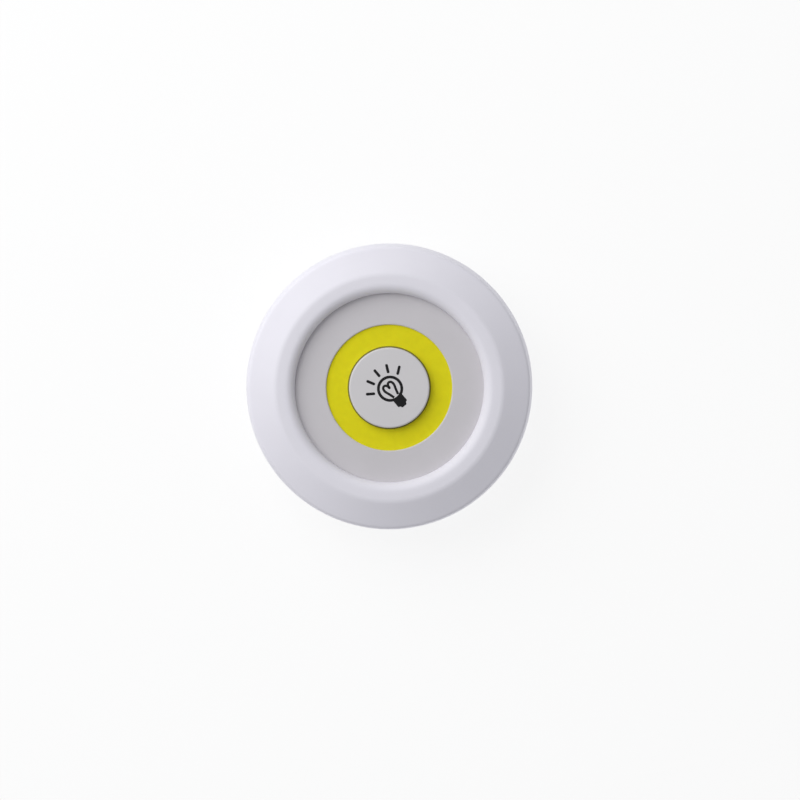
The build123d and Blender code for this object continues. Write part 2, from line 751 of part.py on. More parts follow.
def plate(x_low, x_high):
    """Sprung steel plate against the bay's +Y end."""
    return block(x_low, x_high, contact_face(), BAY_Y, CELL_Z - PLATE_HALF_H,
                 CELL_Z + PLATE_HALF_H)


def dimple(x):
    """Pressed bump that meets a cell's nub, on a plate at the +Y end."""
    foot = RegularPolygon(CELL_R * DIMPLE_SHARE, SMALL_SIDES)
    bump = extrude(foot, DIMPLE_H, taper=DIMPLE_TAPER)
    return Pos(x, contact_face(), CELL_Z) * Rot(90, 0, 0) * bump


def tab(x):
    """Solder tab that stands through the bay's ceiling."""
    low, high = CELL_Z + PLATE_HALF_H, BAY_TOP_Z + TAB_RISE
    return block(x - TAB_W / 2, x + TAB_W / 2, contact_face(), BAY_Y, low, high)


def positive_contact():
    """Plate at the first cell's nub, with a solder tab."""
    x = cell_x(0)
    return plate(x - PLATE_HALF_W, x + PLATE_HALF_W) + dimple(x) + tab(x)


def negative_contact():
    """Plate behind the last cell's spring, with a solder tab."""
    x = -cell_x(CELL_COUNT - 1)
    part = plate(x - PLATE_HALF_W, x + PLATE_HALF_W) + tab(x)
    return Rot(0, 0, 180) * part


def bridge_contact(nub_index):
    """Plate at the +Y end that joins two cells, with its dimple at the one with a nub there."""
    part = plate(cell_x(1) - PLATE_HALF_W, cell_x(2) + PLATE_HALF_W)
    return part + dimple(cell_x(nub_index))


def contact_spring(index):
    """Conical coil between a cell's base and its contact plate."""
    height = COIL_L - 2 * COIL_WIRE_R - 2 * COIL_GAP
    wire = coil(COIL_TURNS, height, COIL_FOOT_R, COIL_TIP_R, COIL_WIRE_R)
    foot_y = -contact_face() + COIL_WIRE_R + COIL_GAP
    lying = Pos(0, foot_y, 0) * Rot(-90, 0, 0) * wire
    return Pos(cell_x(index), 0, CELL_Z) * Rot(0, 0, cell_turn(index)) * lying


def base_plate():
    """Back wall with a bevelled edge and a lip that nests in the bezel."""
    return spun(
        (0, 0),
        (BASE_R - BASE_BEVEL, 0),
        (BASE_R, BASE_BEVEL),
        (BASE_R, BASE_T),
        (LIP_RING_R, BASE_T),
        (LIP_RING_R, BASE_T + LIP_RING_H),
        (LIP_RING_R - LIP_RING_T, BASE_T + LIP_RING_H),
        (LIP_RING_R - LIP_RING_T, BASE_T),
        (0, BASE_T),
    )


def housing_outside():
    """Back wall, battery bay, thumb bay, ribs, posts and standoffs, before the cuts."""
    wall_x, wall_y = BAY_X + BAY_WALL, BAY_Y + BAY_WALL
    part = base_plate()
    rib_end = LIP_RING_R - LIP_RING_T / 2
    rib = block(BAY_X, rib_end, -RIB_T / 2, RIB_T / 2, 0, BASE_T + RIB_H)
    for angle in RIB_DEG:
        part += Rot(0, 0, angle) * rib
    part += block(-wall_x, wall_x, -wall_y, wall_y, 0, BAY_TOP_Z)
    pocket_x = POCKET_X + POCKET_WALL
    part += block(-pocket_x, pocket_x, BAY_Y, POCKET_Y + POCKET_WALL, 0, POCKET_H + POCKET_WALL)
    for angle in POST_DEG:
        x, y = around(POST_RING_R, angle)
        part += post(x, y, 0, POST_H, POST_R)
    for x in (-PCB_SCREW_X, PCB_SCREW_X):
        for y in (-PCB_SCREW_Y, PCB_SCREW_Y):
            part += post(x, y, CEILING_Z, PCB_BACK_Z, PCB_PAD_R)
    return part


def bay_cuts():
    """Hollows of the battery bay, the door's recess and the thumb bay."""
    in_z = -OVERRUN
    inner = [
        block(-BAY_X, BAY_X, -BAY_Y, BAY_Y, in_z, CEILING_Z),
        block(-RECESS_X, RECESS_X, -RECESS_Y, RECESS_Y, in_z, RECESS_Z),
        block(-POCKET_X, POCKET_X, BAY_Y, POCKET_Y, in_z, RECESS_Z),
        block(-POCKET_X, POCKET_X, BAY_Y + BAY_WALL, POCKET_Y, in_z, POCKET_H),
        block(-POCKET_X, POCKET_X, BAY_Y + BAY_WALL, POCKET_Y + KEEPER_D, BASE_T,
              BASE_T + KEEPER_H),
    ]
    for x in (-TONGUE_X, TONGUE_X):
        half = TONGUE_W / 2 + WINDOW_SIDE
        window_y = -(BAY_Y + BAY_WALL + OVERRUN)
        inner.append(block(x - half, x + half, window_y, -BAY_Y, BASE_T, BASE_T + WINDOW_H))
        inner.append(block(x - half, x + half, -RECESS_Y, -BAY_Y, in_z, BASE_T + WINDOW_H))
    return inner


def tab_slots():
    """Slots in the bay's ceiling for the two solder tabs."""
    half = TAB_W / 2 + CLEARANCE
    x = -cell_x(0)
    depth = contact_face() - CLEARANCE
    slot = block(-x - half, -x + half, depth, BAY_Y, CEILING_Z - OVERRUN, BAY_TOP_Z + OVERRUN)
    return [slot, Rot(0, 0, 180) * slot]


def keyhole(x):
    """Hanging hole: a round entry with a narrower slot above it."""
    slot_end = KEYHOLE_RISE
    low, high = -OVERRUN, BASE_T + OVERRUN
    cut = rod(x, 0, low, high, KEYHOLE_R) + rod(x, slot_end, low, high, KEYHOLE_SLOT_R)
    return cut + block(x - KEYHOLE_SLOT_R, x + KEYHOLE_SLOT_R, 0, slot_end, low, high)


def bay_inside():
    """What stands inside the battery bay: fins, plate rails and screw bosses."""
    parts = []
    fin_y = contact_face() - COIL_L - RAIL_D
    fin_z = CEILING_Z - CELL_R * FIN_SHARE
    for x in (-CELL_PITCH / 2, CELL_PITCH / 2):
        parts.append(
            block(x - FIN_T / 2, x + FIN_T / 2, -fin_y, fin_y, fin_z, BAY_TOP_Z)
        )
    for turn in (0, 180):
        x, low = cell_x(0) + PLATE_HALF_W, CELL_Z - PLATE_HALF_H
        rail = block(x, x + RAIL_W, BAY_Y - RAIL_D, BAY_Y + BAY_WALL, low, BAY_TOP_Z)
        parts.append(Rot(0, 0, turn) * rail)
    for x, y in pcb_screw_places():
        tip = PCB_TOP_Z - (PCB_SHANK_L + 2 * PILOT_SPARE) * STACK_SHARE
        parts.append(post(x, y, tip, PCB_BACK_Z, PCB_BOSS_R * STACK_SHARE))
    return parts


def rear_housing():
    """Back shell: battery bay, thumb bay, screw posts, ribs and hanging keyholes."""
    part = housing_outside()
    for cut in bay_cuts():
        part -= cut
    for piece in bay_inside():
        part += piece
    cuts = tab_slots() + [keyhole(-KEYHOLE_X), keyhole(KEYHOLE_X)]
    for angle in POST_DEG:
        x, y = around(POST_RING_R, angle)
        cuts.append(post(x, y, -OVERRUN, POST_HEAD_DEPTH, POST_HEAD_R))
        cuts.append(post(x, y, -OVERRUN, POST_H + OVERRUN, POST_HOLE_R))
    for x, y in pcb_screw_places():
        tip = PCB_TOP_Z - (PCB_SHANK_L + PILOT_SPARE) * STACK_SHARE
        cuts.append(post(x, y, tip, PCB_BACK_Z + OVERRUN, SMALL_SHANK_R + THREAD_GAP))
    for cut in cuts:
        part -= cut
    return part


def screw(x, y, seat_z, shank_l, shank_r, head_r, head_h):
    """Pan-head screw pointing up from its seat."""
    head = stud(x, y, seat_z - head_h, seat_z, head_r)
    return head + stud(x, y, seat_z, seat_z + shank_l, shank_r)


def case_screws():
    """Four screws from the back into the bezel."""
    return [
        screw(*around(POST_RING_R, angle), POST_HEAD_DEPTH, CASE_SHANK_L, CASE_SHANK_R,
              CASE_HEAD_R, CASE_HEAD_H)
        for angle in POST_DEG
    ]


def carrier_screws():
    """Three screws that hold the light carrier to the bezel."""
    return [
        screw(*around(EAR_RING_R, angle), TRAY_BACK_Z, SMALL_SHANK_L, SMALL_SHANK_R,
              SMALL_HEAD_R, SMALL_HEAD_H)
        for angle in EAR_DEG
    ]


def board_screws():
    """Two screws down through the circuit board."""
    screws = []
    for x, y in pcb_screw_places():
        head = stud(x, y, PCB_TOP_Z, PCB_TOP_Z + PCB_HEAD_H, PCB_HEAD_R)
        tip = PCB_TOP_Z - PCB_SHANK_L * STACK_SHARE
        screws.append(head + stud(x, y, tip, PCB_TOP_Z, SMALL_SHANK_R))
    return screws


def door_catch():
    """Springy loop at the door's free end, with a barb and a thumb edge."""
    half = CATCH_W / 2 - DOOR_GAP
    outer_y = POCKET_Y - CATCH_INSET
    inner_y = outer_y - 3 * CATCH_T - CATCH_SLIT
    top = DOOR_SUNK + CATCH_H
    bend = (outer_y - inner_y) / 2
    loop = block(-half, half, inner_y, outer_y, DOOR_IN_Z - DOOR_T / 2, top)
    arch = Pos(0, outer_y - bend, top) * Rot(0, 90, 0) * Cylinder(bend, 2 * half)
    gap = block(-half - OVERRUN, half + OVERRUN, inner_y + CATCH_T, outer_y - CATCH_T,
                -OVERRUN, top)
    hollow = Cylinder(bend - CATCH_T, 2 * half + OVERRUN)
    loop = loop + arch + block(-half, half, outer_y - CATCH_T, outer_y, DOOR_SUNK, top)
    loop = loop - gap - Pos(0, outer_y - bend, top) * Rot(0, 90, 0) * hollow
    barb_z = BASE_T + BARB_UP
    return loop + block(-half / 2, half / 2, outer_y - CATCH_T, outer_y + BARB_REACH / 2, barb_z,
                        barb_z + BARB_H)


def battery_door():
    """Flush door with two hinge tongues, two stiffening ribs and a thumb catch."""
    half_x, half_y = RECESS_X - DOOR_GAP, RECESS_Y - DOOR_GAP
    part = block(-half_x, half_x, -half_y, half_y, DOOR_SUNK, DOOR_IN_Z)
    outer_y = POCKET_Y - CATCH_INSET
    neck_y = outer_y - 2 * CATCH_T - CATCH_SLIT
    catch_x = CATCH_W / 2 - DOOR_GAP
    part += block(-catch_x, catch_x, half_y - LEDGE_W, neck_y, DOOR_SUNK, DOOR_IN_Z)
    part += door_catch()
    tongue_z = BASE_T + TONGUE_OVER
    for x in (-TONGUE_X, TONGUE_X):
        low_x, high_x = x - TONGUE_W / 2, x + TONGUE_W / 2
        top = tongue_z + TONGUE_T
        part += block(low_x, high_x, -half_y, TONGUE_STEM - half_y, DOOR_IN_Z - DOOR_T / 2, top)
        part += block(low_x, high_x, -half_y - TONGUE_REACH, TONGUE_STEM - half_y, tongue_z, top)
        part += block(x - DOOR_RIB_T / 2, x + DOOR_RIB_T / 2, -DOOR_RIB_L / 2, DOOR_RIB_L / 2,
                      DOOR_IN_Z - DOOR_T / 2, DOOR_IN_Z + DOOR_RIB_H)
    return part


def save(name, shape):
    """Write one sub-part, a solid or a list of like solids, to its own file."""
    solids = list(shape) if isinstance(shape, list) else [shape]
    group = Compound(label=name, children=[item.solid() for item in solids])
    export_step(group, f"parts/{name}.step")


def main():
    os.makedirs("parts", exist_ok=True)
    pieces = {
        "front_bezel": front_bezel(),
        "face_panel": face_panel(),
        "light_carrier": light_carrier(),
        "thermal_pad": thermal_pad(),
        "cob_board": cob_board(),
        "led_chips": led_chips(),
        "phosphor_ring": phosphor_ring(),
        "inner_dam": inner_dam(),
        "outer_dam": outer_dam(),
        "solder_joints": solder_joints(),
        "carrier_screws": carrier_screws(),
        "button_cap": button_cap(),
        "switch_plunger": switch_plunger(),
        "switch_body": switch_body(),
        "return_spring": return_spring(),
        "circuit_board": circuit_board(),
        "driver_chip": driver_chip(),
        "chip_resistors": chip_resistors(),
        "capacitor": capacitor(),
        "board_screws": board_screws(),
        "led_lead_red": led_lead(0),
        "led_lead_black": led_lead(1),
        "battery_lead_red": battery_lead(),
        "battery_lead_black": Rot(0, 0, 180) * battery_lead(),
        "positive_contact": positive_contact(),
        "negative_contact": negative_contact(),
        "bridge_contact_top": bridge_contact(2),
        "bridge_contact_bottom": Rot(0, 0, 180) * bridge_contact(1),
        "rear_housing": rear_housing(),
        "case_screws": case_screws(),
        "battery_door": battery_door(),
    }
    for index in range(CELL_COUNT):
        pieces[f"battery_cell_{index + 1}"] = battery_cell(index)
        pieces[f"contact_spring_{index + 1}"] = contact_spring(index)
    gap = coil_gap(COIL_TURNS, COIL_L - 2 * COIL_WIRE_R, COIL_FOOT_R, COIL_TIP_R, COIL_WIRE_R)
    print("contact spring least gap", round(gap, 2))
    print("lead bends", LEAD_BEND_R, LEAD_SWEEP_R)
    print("door hinge at y", round(PIVOT_Y, 3), "z", PIVOT_UP)
    for name, shape in pieces.items():
        save(name, shape)


main()
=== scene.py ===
"""Battery cabinet light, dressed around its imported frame. Every length below is in millimetres."""

import logging
from collections.abc import Callable, Sequence
from dataclasses import dataclass
from enum import Enum
from math import asin, atan, cos, degrees, hypot, pi, radians, sin, tan

import bmesh
import bpy
from mathutils import Matrix, Vector


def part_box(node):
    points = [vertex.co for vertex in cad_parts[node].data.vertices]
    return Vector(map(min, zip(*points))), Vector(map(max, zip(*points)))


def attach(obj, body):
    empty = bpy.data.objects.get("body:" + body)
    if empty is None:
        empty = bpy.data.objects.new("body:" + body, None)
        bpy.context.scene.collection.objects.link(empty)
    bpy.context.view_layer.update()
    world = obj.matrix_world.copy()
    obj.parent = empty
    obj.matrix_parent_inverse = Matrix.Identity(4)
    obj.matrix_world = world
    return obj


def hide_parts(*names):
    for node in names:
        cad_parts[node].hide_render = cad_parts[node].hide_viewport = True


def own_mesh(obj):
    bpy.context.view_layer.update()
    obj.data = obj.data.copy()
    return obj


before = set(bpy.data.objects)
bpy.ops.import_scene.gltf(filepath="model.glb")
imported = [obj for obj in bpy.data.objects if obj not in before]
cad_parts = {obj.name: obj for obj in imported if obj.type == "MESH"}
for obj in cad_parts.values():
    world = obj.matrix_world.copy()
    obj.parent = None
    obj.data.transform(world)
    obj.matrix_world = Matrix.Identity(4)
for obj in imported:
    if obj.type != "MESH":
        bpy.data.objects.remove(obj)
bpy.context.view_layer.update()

MM = 0.001
WELD = 0.0005  # points nearer than this are one
log = logging.getLogger("cabinet_light")

Colour = tuple[float, float, float]
Corner = tuple[float, ...]
Span = tuple[float, float]
Test = Callable[[Vector, Vector], bool]
Piece = bpy.types.Object


class Body(Enum):
    """The bodies of the frame that a piece can ride on."""

    HOUSING = "housing"
    BUTTON = "button"
    DOOR = "door"


class Join(Enum):
    """The ways in which one solid is worked with another."""

    ADD = "UNION"
    CUT = "DIFFERENCE"
    KEEP = "INTERSECT"


class Axis(Enum):
    """Directions that a turned piece can lie along."""

    X = (0.0, pi / 2, 0.0)
    Y = (-pi / 2, 0.0, 0.0)
    Z = (0.0, 0.0, 0.0)


# Materials


@dataclass(frozen=True)
class Finish:
    """A surface finish with its grain, its gloss and its slight changes of tone."""

    name: str
    slot: str
    colour: Colour
    roughness: float = 0.45
    metallic: float = 0.0
    specular: float = 0.5
    grain: float = 0.3
    relief: float = 0.003
    mottle: float = 0.02
    patch: float = 9.0
    gloss_spread: float = 0.06
    stretch: Colour = (1.0, 1.0, 1.0)
    scatter: float = 0.0
    coat: float = 0.0

    def material(self) -> bpy.types.Material:
        """Builds the finish once.

        Returns:
            The finish as a node material.
        """
        name = f"{self.name}_finish"  # no material of the frame is called that
        known = bpy.data.materials.get(name)
        if known:
            return known
        made = bpy.data.materials.new(name)
        made.use_nodes = True
        tree = made.node_tree
        shader = tree.nodes["Principled BSDF"]
        self.set_constants(shader)
        place = tree.nodes.new("ShaderNodeTexCoord").outputs["Object"]
        patches = self.noise(tree, place, self.patch, 3.0, (1.0, 1.0, 1.0))
        grain = self.noise(tree, place, self.grain, 4.0, self.stretch)
        self.tone(tree, patches, shader)
        self.gloss(tree, grain, shader)
        self.bump(tree, grain, shader)
        return made

    def set_constants(self, shader: bpy.types.Node) -> None:
        """Sets what is the same all over, on the shader's own sockets.

        Args:
            shader: The principled shader of the material.
        """
        values = {
            "Metallic": self.metallic,
            "Specular IOR Level": self.specular,
            "Subsurface Weight": self.scatter,
            "Subsurface Scale": 1.5 * MM,
            "Coat Weight": self.coat,
            "Coat Roughness": 0.2,
        }
        for socket, value in values.items():
            shader.inputs[socket].default_value = value

    def noise(self, tree: bpy.types.NodeTree, place: bpy.types.NodeSocket, size: float,
              detail: float, stretch: Colour) -> bpy.types.NodeSocket:
        """Adds a noise of a given size on the piece.

        Args:
            tree: The material's nodes.
            place: Where the surface is, in metres.
            size: Size of one blotch.
            detail: How many finer layers it has.
            stretch: How much longer the blotches are along each axis.

        Returns:
            The noise's value, about 0.5 on the whole.
        """
        mapping = tree.nodes.new("ShaderNodeMapping")
        mapping.inputs["Scale"].default_value = [1 / (size * MM * axis) for axis in stretch]
        tree.links.new(place, mapping.inputs["Vector"])
        noise = tree.nodes.new("ShaderNodeTexNoise")
        noise.inputs["Scale"].default_value = 1.0
        noise.inputs["Detail"].default_value = detail
        tree.links.new(mapping.outputs["Vector"], noise.inputs["Vector"])
        return noise.outputs["Fac"]

    def tone(self, tree: bpy.types.NodeTree, patches: bpy.types.NodeSocket,
             shader: bpy.types.Node) -> None:
        """Varies the colour a little from place to place.

        Args:
            tree: The material's nodes.
            patches: A coarse noise.
            shader: The principled shader.
        """
        ramp = tree.nodes.new("ShaderNodeValToRGB")
        ramp.color_ramp.elements[0].position = 0.3
        ramp.color_ramp.elements[1].position = 0.7
        for element, share in zip(ramp.color_ramp.elements, (1 - self.mottle, 1 + self.mottle)):
            element.color = (*(min(1.0, part * share) for part in self.colour), 1.0)
        tree.links.new(patches, ramp.inputs["Fac"])
        tree.links.new(ramp.outputs["Color"], shader.inputs["Base Color"])

    def gloss(self, tree: bpy.types.NodeTree, grain: bpy.types.NodeSocket,
              shader: bpy.types.Node) -> None:
        """Varies the roughness with the grain.

        Args:
            tree: The material's nodes.
            grain: A fine noise.
            shader: The principled shader.
        """
        spread = tree.nodes.new("ShaderNodeMapRange")
        spread.inputs["From Min"].default_value = 0.3
        spread.inputs["From Max"].default_value = 0.7
        spread.inputs["To Min"].default_value = self.roughness - self.gloss_spread
        spread.inputs["To Max"].default_value = self.roughness + self.gloss_spread
        tree.links.new(grain, spread.inputs["Value"])
        tree.links.new(spread.outputs["Result"], shader.inputs["Roughness"])

    def bump(self, tree: bpy.types.NodeTree, grain: bpy.types.NodeSocket,
             shader: bpy.types.Node) -> None:
        """Raises the grain.

        Args:
            tree: The material's nodes.
            grain: A fine noise.
            shader: The principled shader.
        """
        bump = tree.nodes.new("ShaderNodeBump")
        bump.inputs["Strength"].default_value = 1.0
        bump.inputs["Distance"].default_value = self.relief * MM
        tree.links.new(grain, bump.inputs["Height"])
        tree.links.new(bump.outputs["Normal"], shader.inputs["Normal"])


WHITE_PLASTIC = Finish("white_moulding", "white_plastic", (0.80, 0.785, 0.85), 0.55,
                       specular=0.35, grain=0.22, relief=0.0015, mottle=0.008)
PANEL_PLASTIC = Finish("grey_panel_moulding", "panel_plastic", (0.60, 0.58, 0.605), 0.55,
                       specular=0.35, grain=0.25, relief=0.002, mottle=0.012)
BUTTON_PLASTIC = Finish("grey_button_moulding", "button_plastic", (0.65, 0.635, 0.65), 0.5,
                        specular=0.35, grain=0.25, relief=0.002, mottle=0.012)
PHOSPHOR = Finish("phosphor_silicone", "phosphor", (0.76, 0.69, 0.008), 0.5, specular=0.15,
                  grain=0.5, relief=0.006, mottle=0.03, patch=2.5, scatter=0.05)
CHIP_YELLOW = Finish("chip_yellow", "chip_yellow", (0.72, 0.62, 0.12), 0.5, relief=0.001)
# Dam silicone painted dark olive: painted shade, so the inner dam shows as the dark shadow gap round
# the button's edge
DAM_WITH_PAINTED_SHADE = Finish("dam_silicone", "dam_silicone", (0.24, 0.215, 0.05), 0.6, specular=0.1,
                      grain=0.6, relief=0.004, scatter=0.05)
PAD_SILICONE = Finish("pad_silicone", "silicone_pad", (0.25, 0.29, 0.33), 0.7)
BOARD_ALUMINIUM = Finish("board_aluminium", "board_aluminium", (0.78, 0.78, 0.78), 0.35,
                         metallic=0.6, grain=0.15, stretch=(8.0, 1.0, 1.0))
SOLDER = Finish("solder", "solder", (0.62, 0.62, 0.64), 0.25, metallic=1.0, grain=0.4)
ZINC_STEEL = Finish("zinc_steel", "zinc_steel", (0.56, 0.57, 0.6), 0.32, metallic=1.0,
                    grain=0.3, relief=0.004, mottle=0.06, patch=1.5)
SPRING_STEEL = Finish("spring_steel", "spring_steel", (0.45, 0.45, 0.47), 0.3, metallic=1.0,
                      grain=0.12)
NICKEL = Finish("contact_nickel", "contact_nickel", (0.66, 0.63, 0.58), 0.24, metallic=1.0,
                grain=0.2, stretch=(1.0, 1.0, 9.0))
BLACK_PLASTIC = Finish("black_moulding", "black_plastic", (0.018, 0.018, 0.02), 0.5)
LAMINATE = Finish("board_laminate", "board_laminate", (0.012, 0.11, 0.045), 0.32, grain=0.5,
                  relief=0.005, mottle=0.12, patch=3.0, coat=0.3)
CHIP_CERAMIC = Finish("chip_ceramic", "chip_ceramic", (0.03, 0.03, 0.034), 0.55)
CAPACITOR_TAN = Finish("capacitor_tan", "capacitor_tan", (0.36, 0.24, 0.13), 0.5)
LEAD_RED = Finish("lead_red", "lead_red", (0.42, 0.008, 0.008), 0.35)
LEAD_BLACK = Finish("lead_black", "lead_black", (0.012, 0.012, 0.012), 0.35)
CELL_SLEEVE = Finish("cell_sleeve", "cell_sleeve", (0.02, 0.07, 0.19), 0.3, specular=0.3,
                     relief=0.0004, grain=0.8, mottle=0.03)
CELL_BAND = Finish("cell_band", "cell_sleeve", (0.62, 0.63, 0.65), 0.3, metallic=0.8)
BLACK_INK = Finish("symbol_ink", "black_plastic", (0.007, 0.007, 0.008), 0.6, specular=0.12,
                   relief=0.002, grain=0.2)


# Modelling


def hold(piece: Piece | None = None) -> None:
    """Puts every piece down and takes up one, so that operators act on it alone.

    Args:
        piece: The piece to take up, or none.
    """
    if bpy.context.object and bpy.context.object.mode != "OBJECT":
        bpy.ops.object.mode_set(mode="OBJECT")
    bpy.ops.object.select_all(action="DESELECT")
    if piece:
        piece.select_set(True)
        bpy.context.view_layer.objects.active = piece


def edit(piece: Piece) -> None:
    """Opens a piece in edit mode with nothing selected.

    Args:
        piece: The piece to open.
    """
    hold(piece)
    bpy.ops.object.mode_set(mode="EDIT")
    bpy.ops.mesh.select_mode(type="VERT")
    bpy.ops.mesh.select_all(action="DESELECT")


def pick_faces(test: Test) -> int:
    """Selects faces of the piece in edit mode.

    Args:
        test: Whether a face is wanted, from its middle in millimetres and its normal.

    Returns:
        How many faces passed.
    """
    bpy.ops.mesh.select_mode(type="FACE")
    bpy.ops.mesh.select_all(action="DESELECT")
    piece = bpy.context.edit_object
    mesh = bmesh.from_edit_mesh(piece.data)
    place = piece.matrix_world
    wanted = [face for face in mesh.faces
              if test(place @ face.calc_center_median() / MM, face.normal)]
    for face in wanted:
        face.select_set(True)
    bmesh.update_edit_mesh(piece.data)
    return len(wanted)


def pick_edges(test: Test) -> int:
    """Selects edges of the piece in edit mode.

    Args:
        test: Whether an edge is wanted, from its two ends in millimetres.

    Returns:
        How many edges passed.
    """
    bpy.ops.mesh.select_mode(type="EDGE")
    bpy.ops.mesh.select_all(action="DESELECT")
    piece = bpy.context.edit_object
    mesh = bmesh.from_edit_mesh(piece.data)
    place = piece.matrix_world
    wanted = [edge for edge in mesh.edges
              if test(*(place @ vert.co / MM for vert in edge.verts))]
    for edge in wanted:
        edge.select_set(True)
    bmesh.update_edit_mesh(piece.data)
    return len(wanted)


def close_up() -> None:
    """Merges doubled points of the piece in edit mode and turns its faces outwards."""
    bpy.ops.mesh.select_mode(type="VERT")
    bpy.ops.mesh.select_all(action="SELECT")
    bpy.ops.mesh.remove_doubles(threshold=WELD * MM)
    bpy.ops.mesh.normals_make_consistent(inside=False)
    bpy.ops.object.mode_set(mode="OBJECT")


def flatten(piece: Piece) -> None:
    """Makes each flat side of a piece one face, without its fans and support points.

    Args:
        piece: The piece.
    """
    edit(piece)
    bpy.ops.mesh.select_all(action="SELECT")
    bpy.ops.mesh.dissolve_limited(angle_limit=radians(0.2))
    bpy.ops.object.mode_set(mode="OBJECT")


def settle(piece: Piece) -> None:
    """Puts a piece's place into its mesh, which leaves its object at the origin.

    Args:
        piece: The piece.
    """
    hold(piece)
    bpy.ops.object.transform_apply(location=True, rotation=True, scale=True)


def rounded(corners: Sequence[Corner], steps: int = 4, closed: bool = True) -> list[Span]:
    """Rounds the corners of an outline, with a support point beside each rounding.

    Args:
        corners: Each a radius, a height and perhaps a rounding.
        steps: Straight pieces in each rounding.
        closed: Whether the last corner joins the first.

    Returns:
        The outline's points.
    """
    points: list[Span] = []
    count = len(corners)
    for index, corner in enumerate(corners):
        here = Vector(corner[:2])
        radius = corner[2] if len(corner) > 2 else 0.0
        if not radius or (not closed and index in (0, count - 1)):
            points.append(tuple(here))
            continue
        before = Vector(corners[index - 1][:2]) - here
        after = Vector(corners[(index + 1) % count][:2]) - here
        half = before.angle(after) / 2
        reach = radius / tan(half)
        middle = here + (before.normalized() + after.normalized()).normalized() * radius / sin(half)
        start, end = here + before.normalized() * reach, here + after.normalized() * reach
        support = max(0.1, radius / 3)
        if before.length > 2 * reach + 3 * support:
            points.append(tuple(start + before.normalized() * support))
        for step in range(steps + 1):
            share = step / steps
            turn = (pi - 2 * half) * (share - 0.5)
            along = ((here - middle).normalized() * radius)
            sense = 1 if before.cross(after) < 0 else -1
            along.rotate(Matrix.Rotation(sense * turn, 2))
            points.append(tuple(middle + along))
        if after.length > 2 * reach + 3 * support:
            points.append(tuple(end + after.normalized() * support))
    return points


def outline(points: Sequence[Span], closed: bool = True) -> Piece:
    """Draws an outline in the XZ plane, corner by corner.

    Args:
        points: Its points, each a radius and a height.
        closed: Whether its ends are joined.

    Returns:
        The outline, still in edit mode and all selected.
    """
    hold()
    first = points[0]
    bpy.ops.mesh.primitive_plane_add(size=MM, location=(first[0] * MM, 0, first[1] * MM))
    bpy.ops.object.mode_set(mode="EDIT")
    bpy.ops.mesh.select_mode(type="VERT")
    bpy.ops.mesh.select_all(action="SELECT")
    bpy.ops.mesh.merge(type="CENTER")
    for before, after in zip(points, points[1:]):
        step = ((after[0] - before[0]) * MM, 0, (after[1] - before[1]) * MM)
        bpy.ops.mesh.extrude_region_move(TRANSFORM_OT_translate={"value": step})
    if closed:
        mesh = bmesh.from_edit_mesh(bpy.context.edit_object.data)
        mesh.verts.ensure_lookup_table()
        for vert in mesh.verts:
            vert.select_set(len(vert.link_edges) == 1)
        bmesh.update_edit_mesh(bpy.context.edit_object.data)
        bpy.ops.mesh.edge_face_add()
    bpy.ops.mesh.select_all(action="SELECT")
    return bpy.context.edit_object


def turned(corners: Sequence[Corner], steps: int = 192, rounding: int = 4,
           closed: bool = True) -> Piece:
    """Turns a solid of revolution about the light's axis.

    Args:
        corners: Each a radius, a height and perhaps a rounding.
        steps: Divisions of the full turn.
        rounding: Straight pieces in each rounding.
        closed: False where the outline starts and ends on the axis.

    Returns:
        The solid.
    """
    piece = outline(rounded(corners, rounding, closed), closed)
    bpy.ops.mesh.spin(steps=steps, angle=2 * pi, center=(0, 0, 0), axis=(0, 0, 1),
                      use_auto_merge=True)
    close_up()
    settle(piece)
    return piece


def sector(corners: Sequence[Corner], middle_deg: float, half_deg: float,
           steps: int = 8) -> Piece:
    """Turns a closed outline through part of a circle and closes its two ends.

    Args:
        corners: Each a radius and a height.
        middle_deg: Where the sector's middle points.
        half_deg: Half its angle.
        steps: Divisions of its angle.

    Returns:
        The solid.
    """
    piece = outline(rounded(corners))
    bpy.ops.mesh.edge_face_add()
    bpy.ops.mesh.spin(steps=steps, angle=radians(2 * half_deg), center=(0, 0, 0),
                      axis=(0, 0, 1), use_auto_merge=False)
    close_up()
    piece.rotation_euler.z = radians(middle_deg - half_deg)
    piece.location = Matrix.Rotation(piece.rotation_euler.z, 3, "Z") @ piece.location
    settle(piece)
    return piece


def peg(x: float, y: float, heights: Span, radius: float, sides: int = 32,
        top_radius: float | None = None) -> Piece:
    """Adds an upright peg, as a boss, a shank or the drill for a hole.

    Args:
        x: Its middle across.
        y: Its middle along.
        heights: Its foot and its top.
        radius: Its radius at the foot.
        sides: Its sides.
        top_radius: Its radius at the top, where that differs.

    Returns:
        The peg.
    """
    hold()
    low, high = heights
    bpy.ops.mesh.primitive_cone_add(
        vertices=sides, radius1=radius * MM,
        radius2=(radius if top_radius is None else top_radius) * MM,
        depth=(high - low) * MM, location=(x * MM, y * MM, (low + high) / 2 * MM))
    piece = bpy.context.object
    settle(piece)
    return piece


def bar(across: Span, along: Span, heights: Span, bevel: float = 0.0) -> Piece:
    """Adds a bar between two opposite corners, with its edges eased.

    Args:
        across: Its two ends along X.
        along: Its two ends along Y.
        heights: Its foot and its top.
        bevel: Width of its eased edges.

    Returns:
        The bar.
    """
    hold()
    spans = (across, along, heights)
    bpy.ops.mesh.primitive_cube_add(size=1, location=[sum(span) / 2 * MM for span in spans])
    piece = bpy.context.object
    piece.scale = [(span[1] - span[0]) * MM for span in spans]
    settle(piece)
    if bevel:
        edit(piece)
        bpy.ops.mesh.select_all(action="SELECT")
        bpy.ops.mesh.bevel(offset=bevel * MM, segments=2, affect="EDGES")
        bpy.ops.object.mode_set(mode="OBJECT")
    return piece


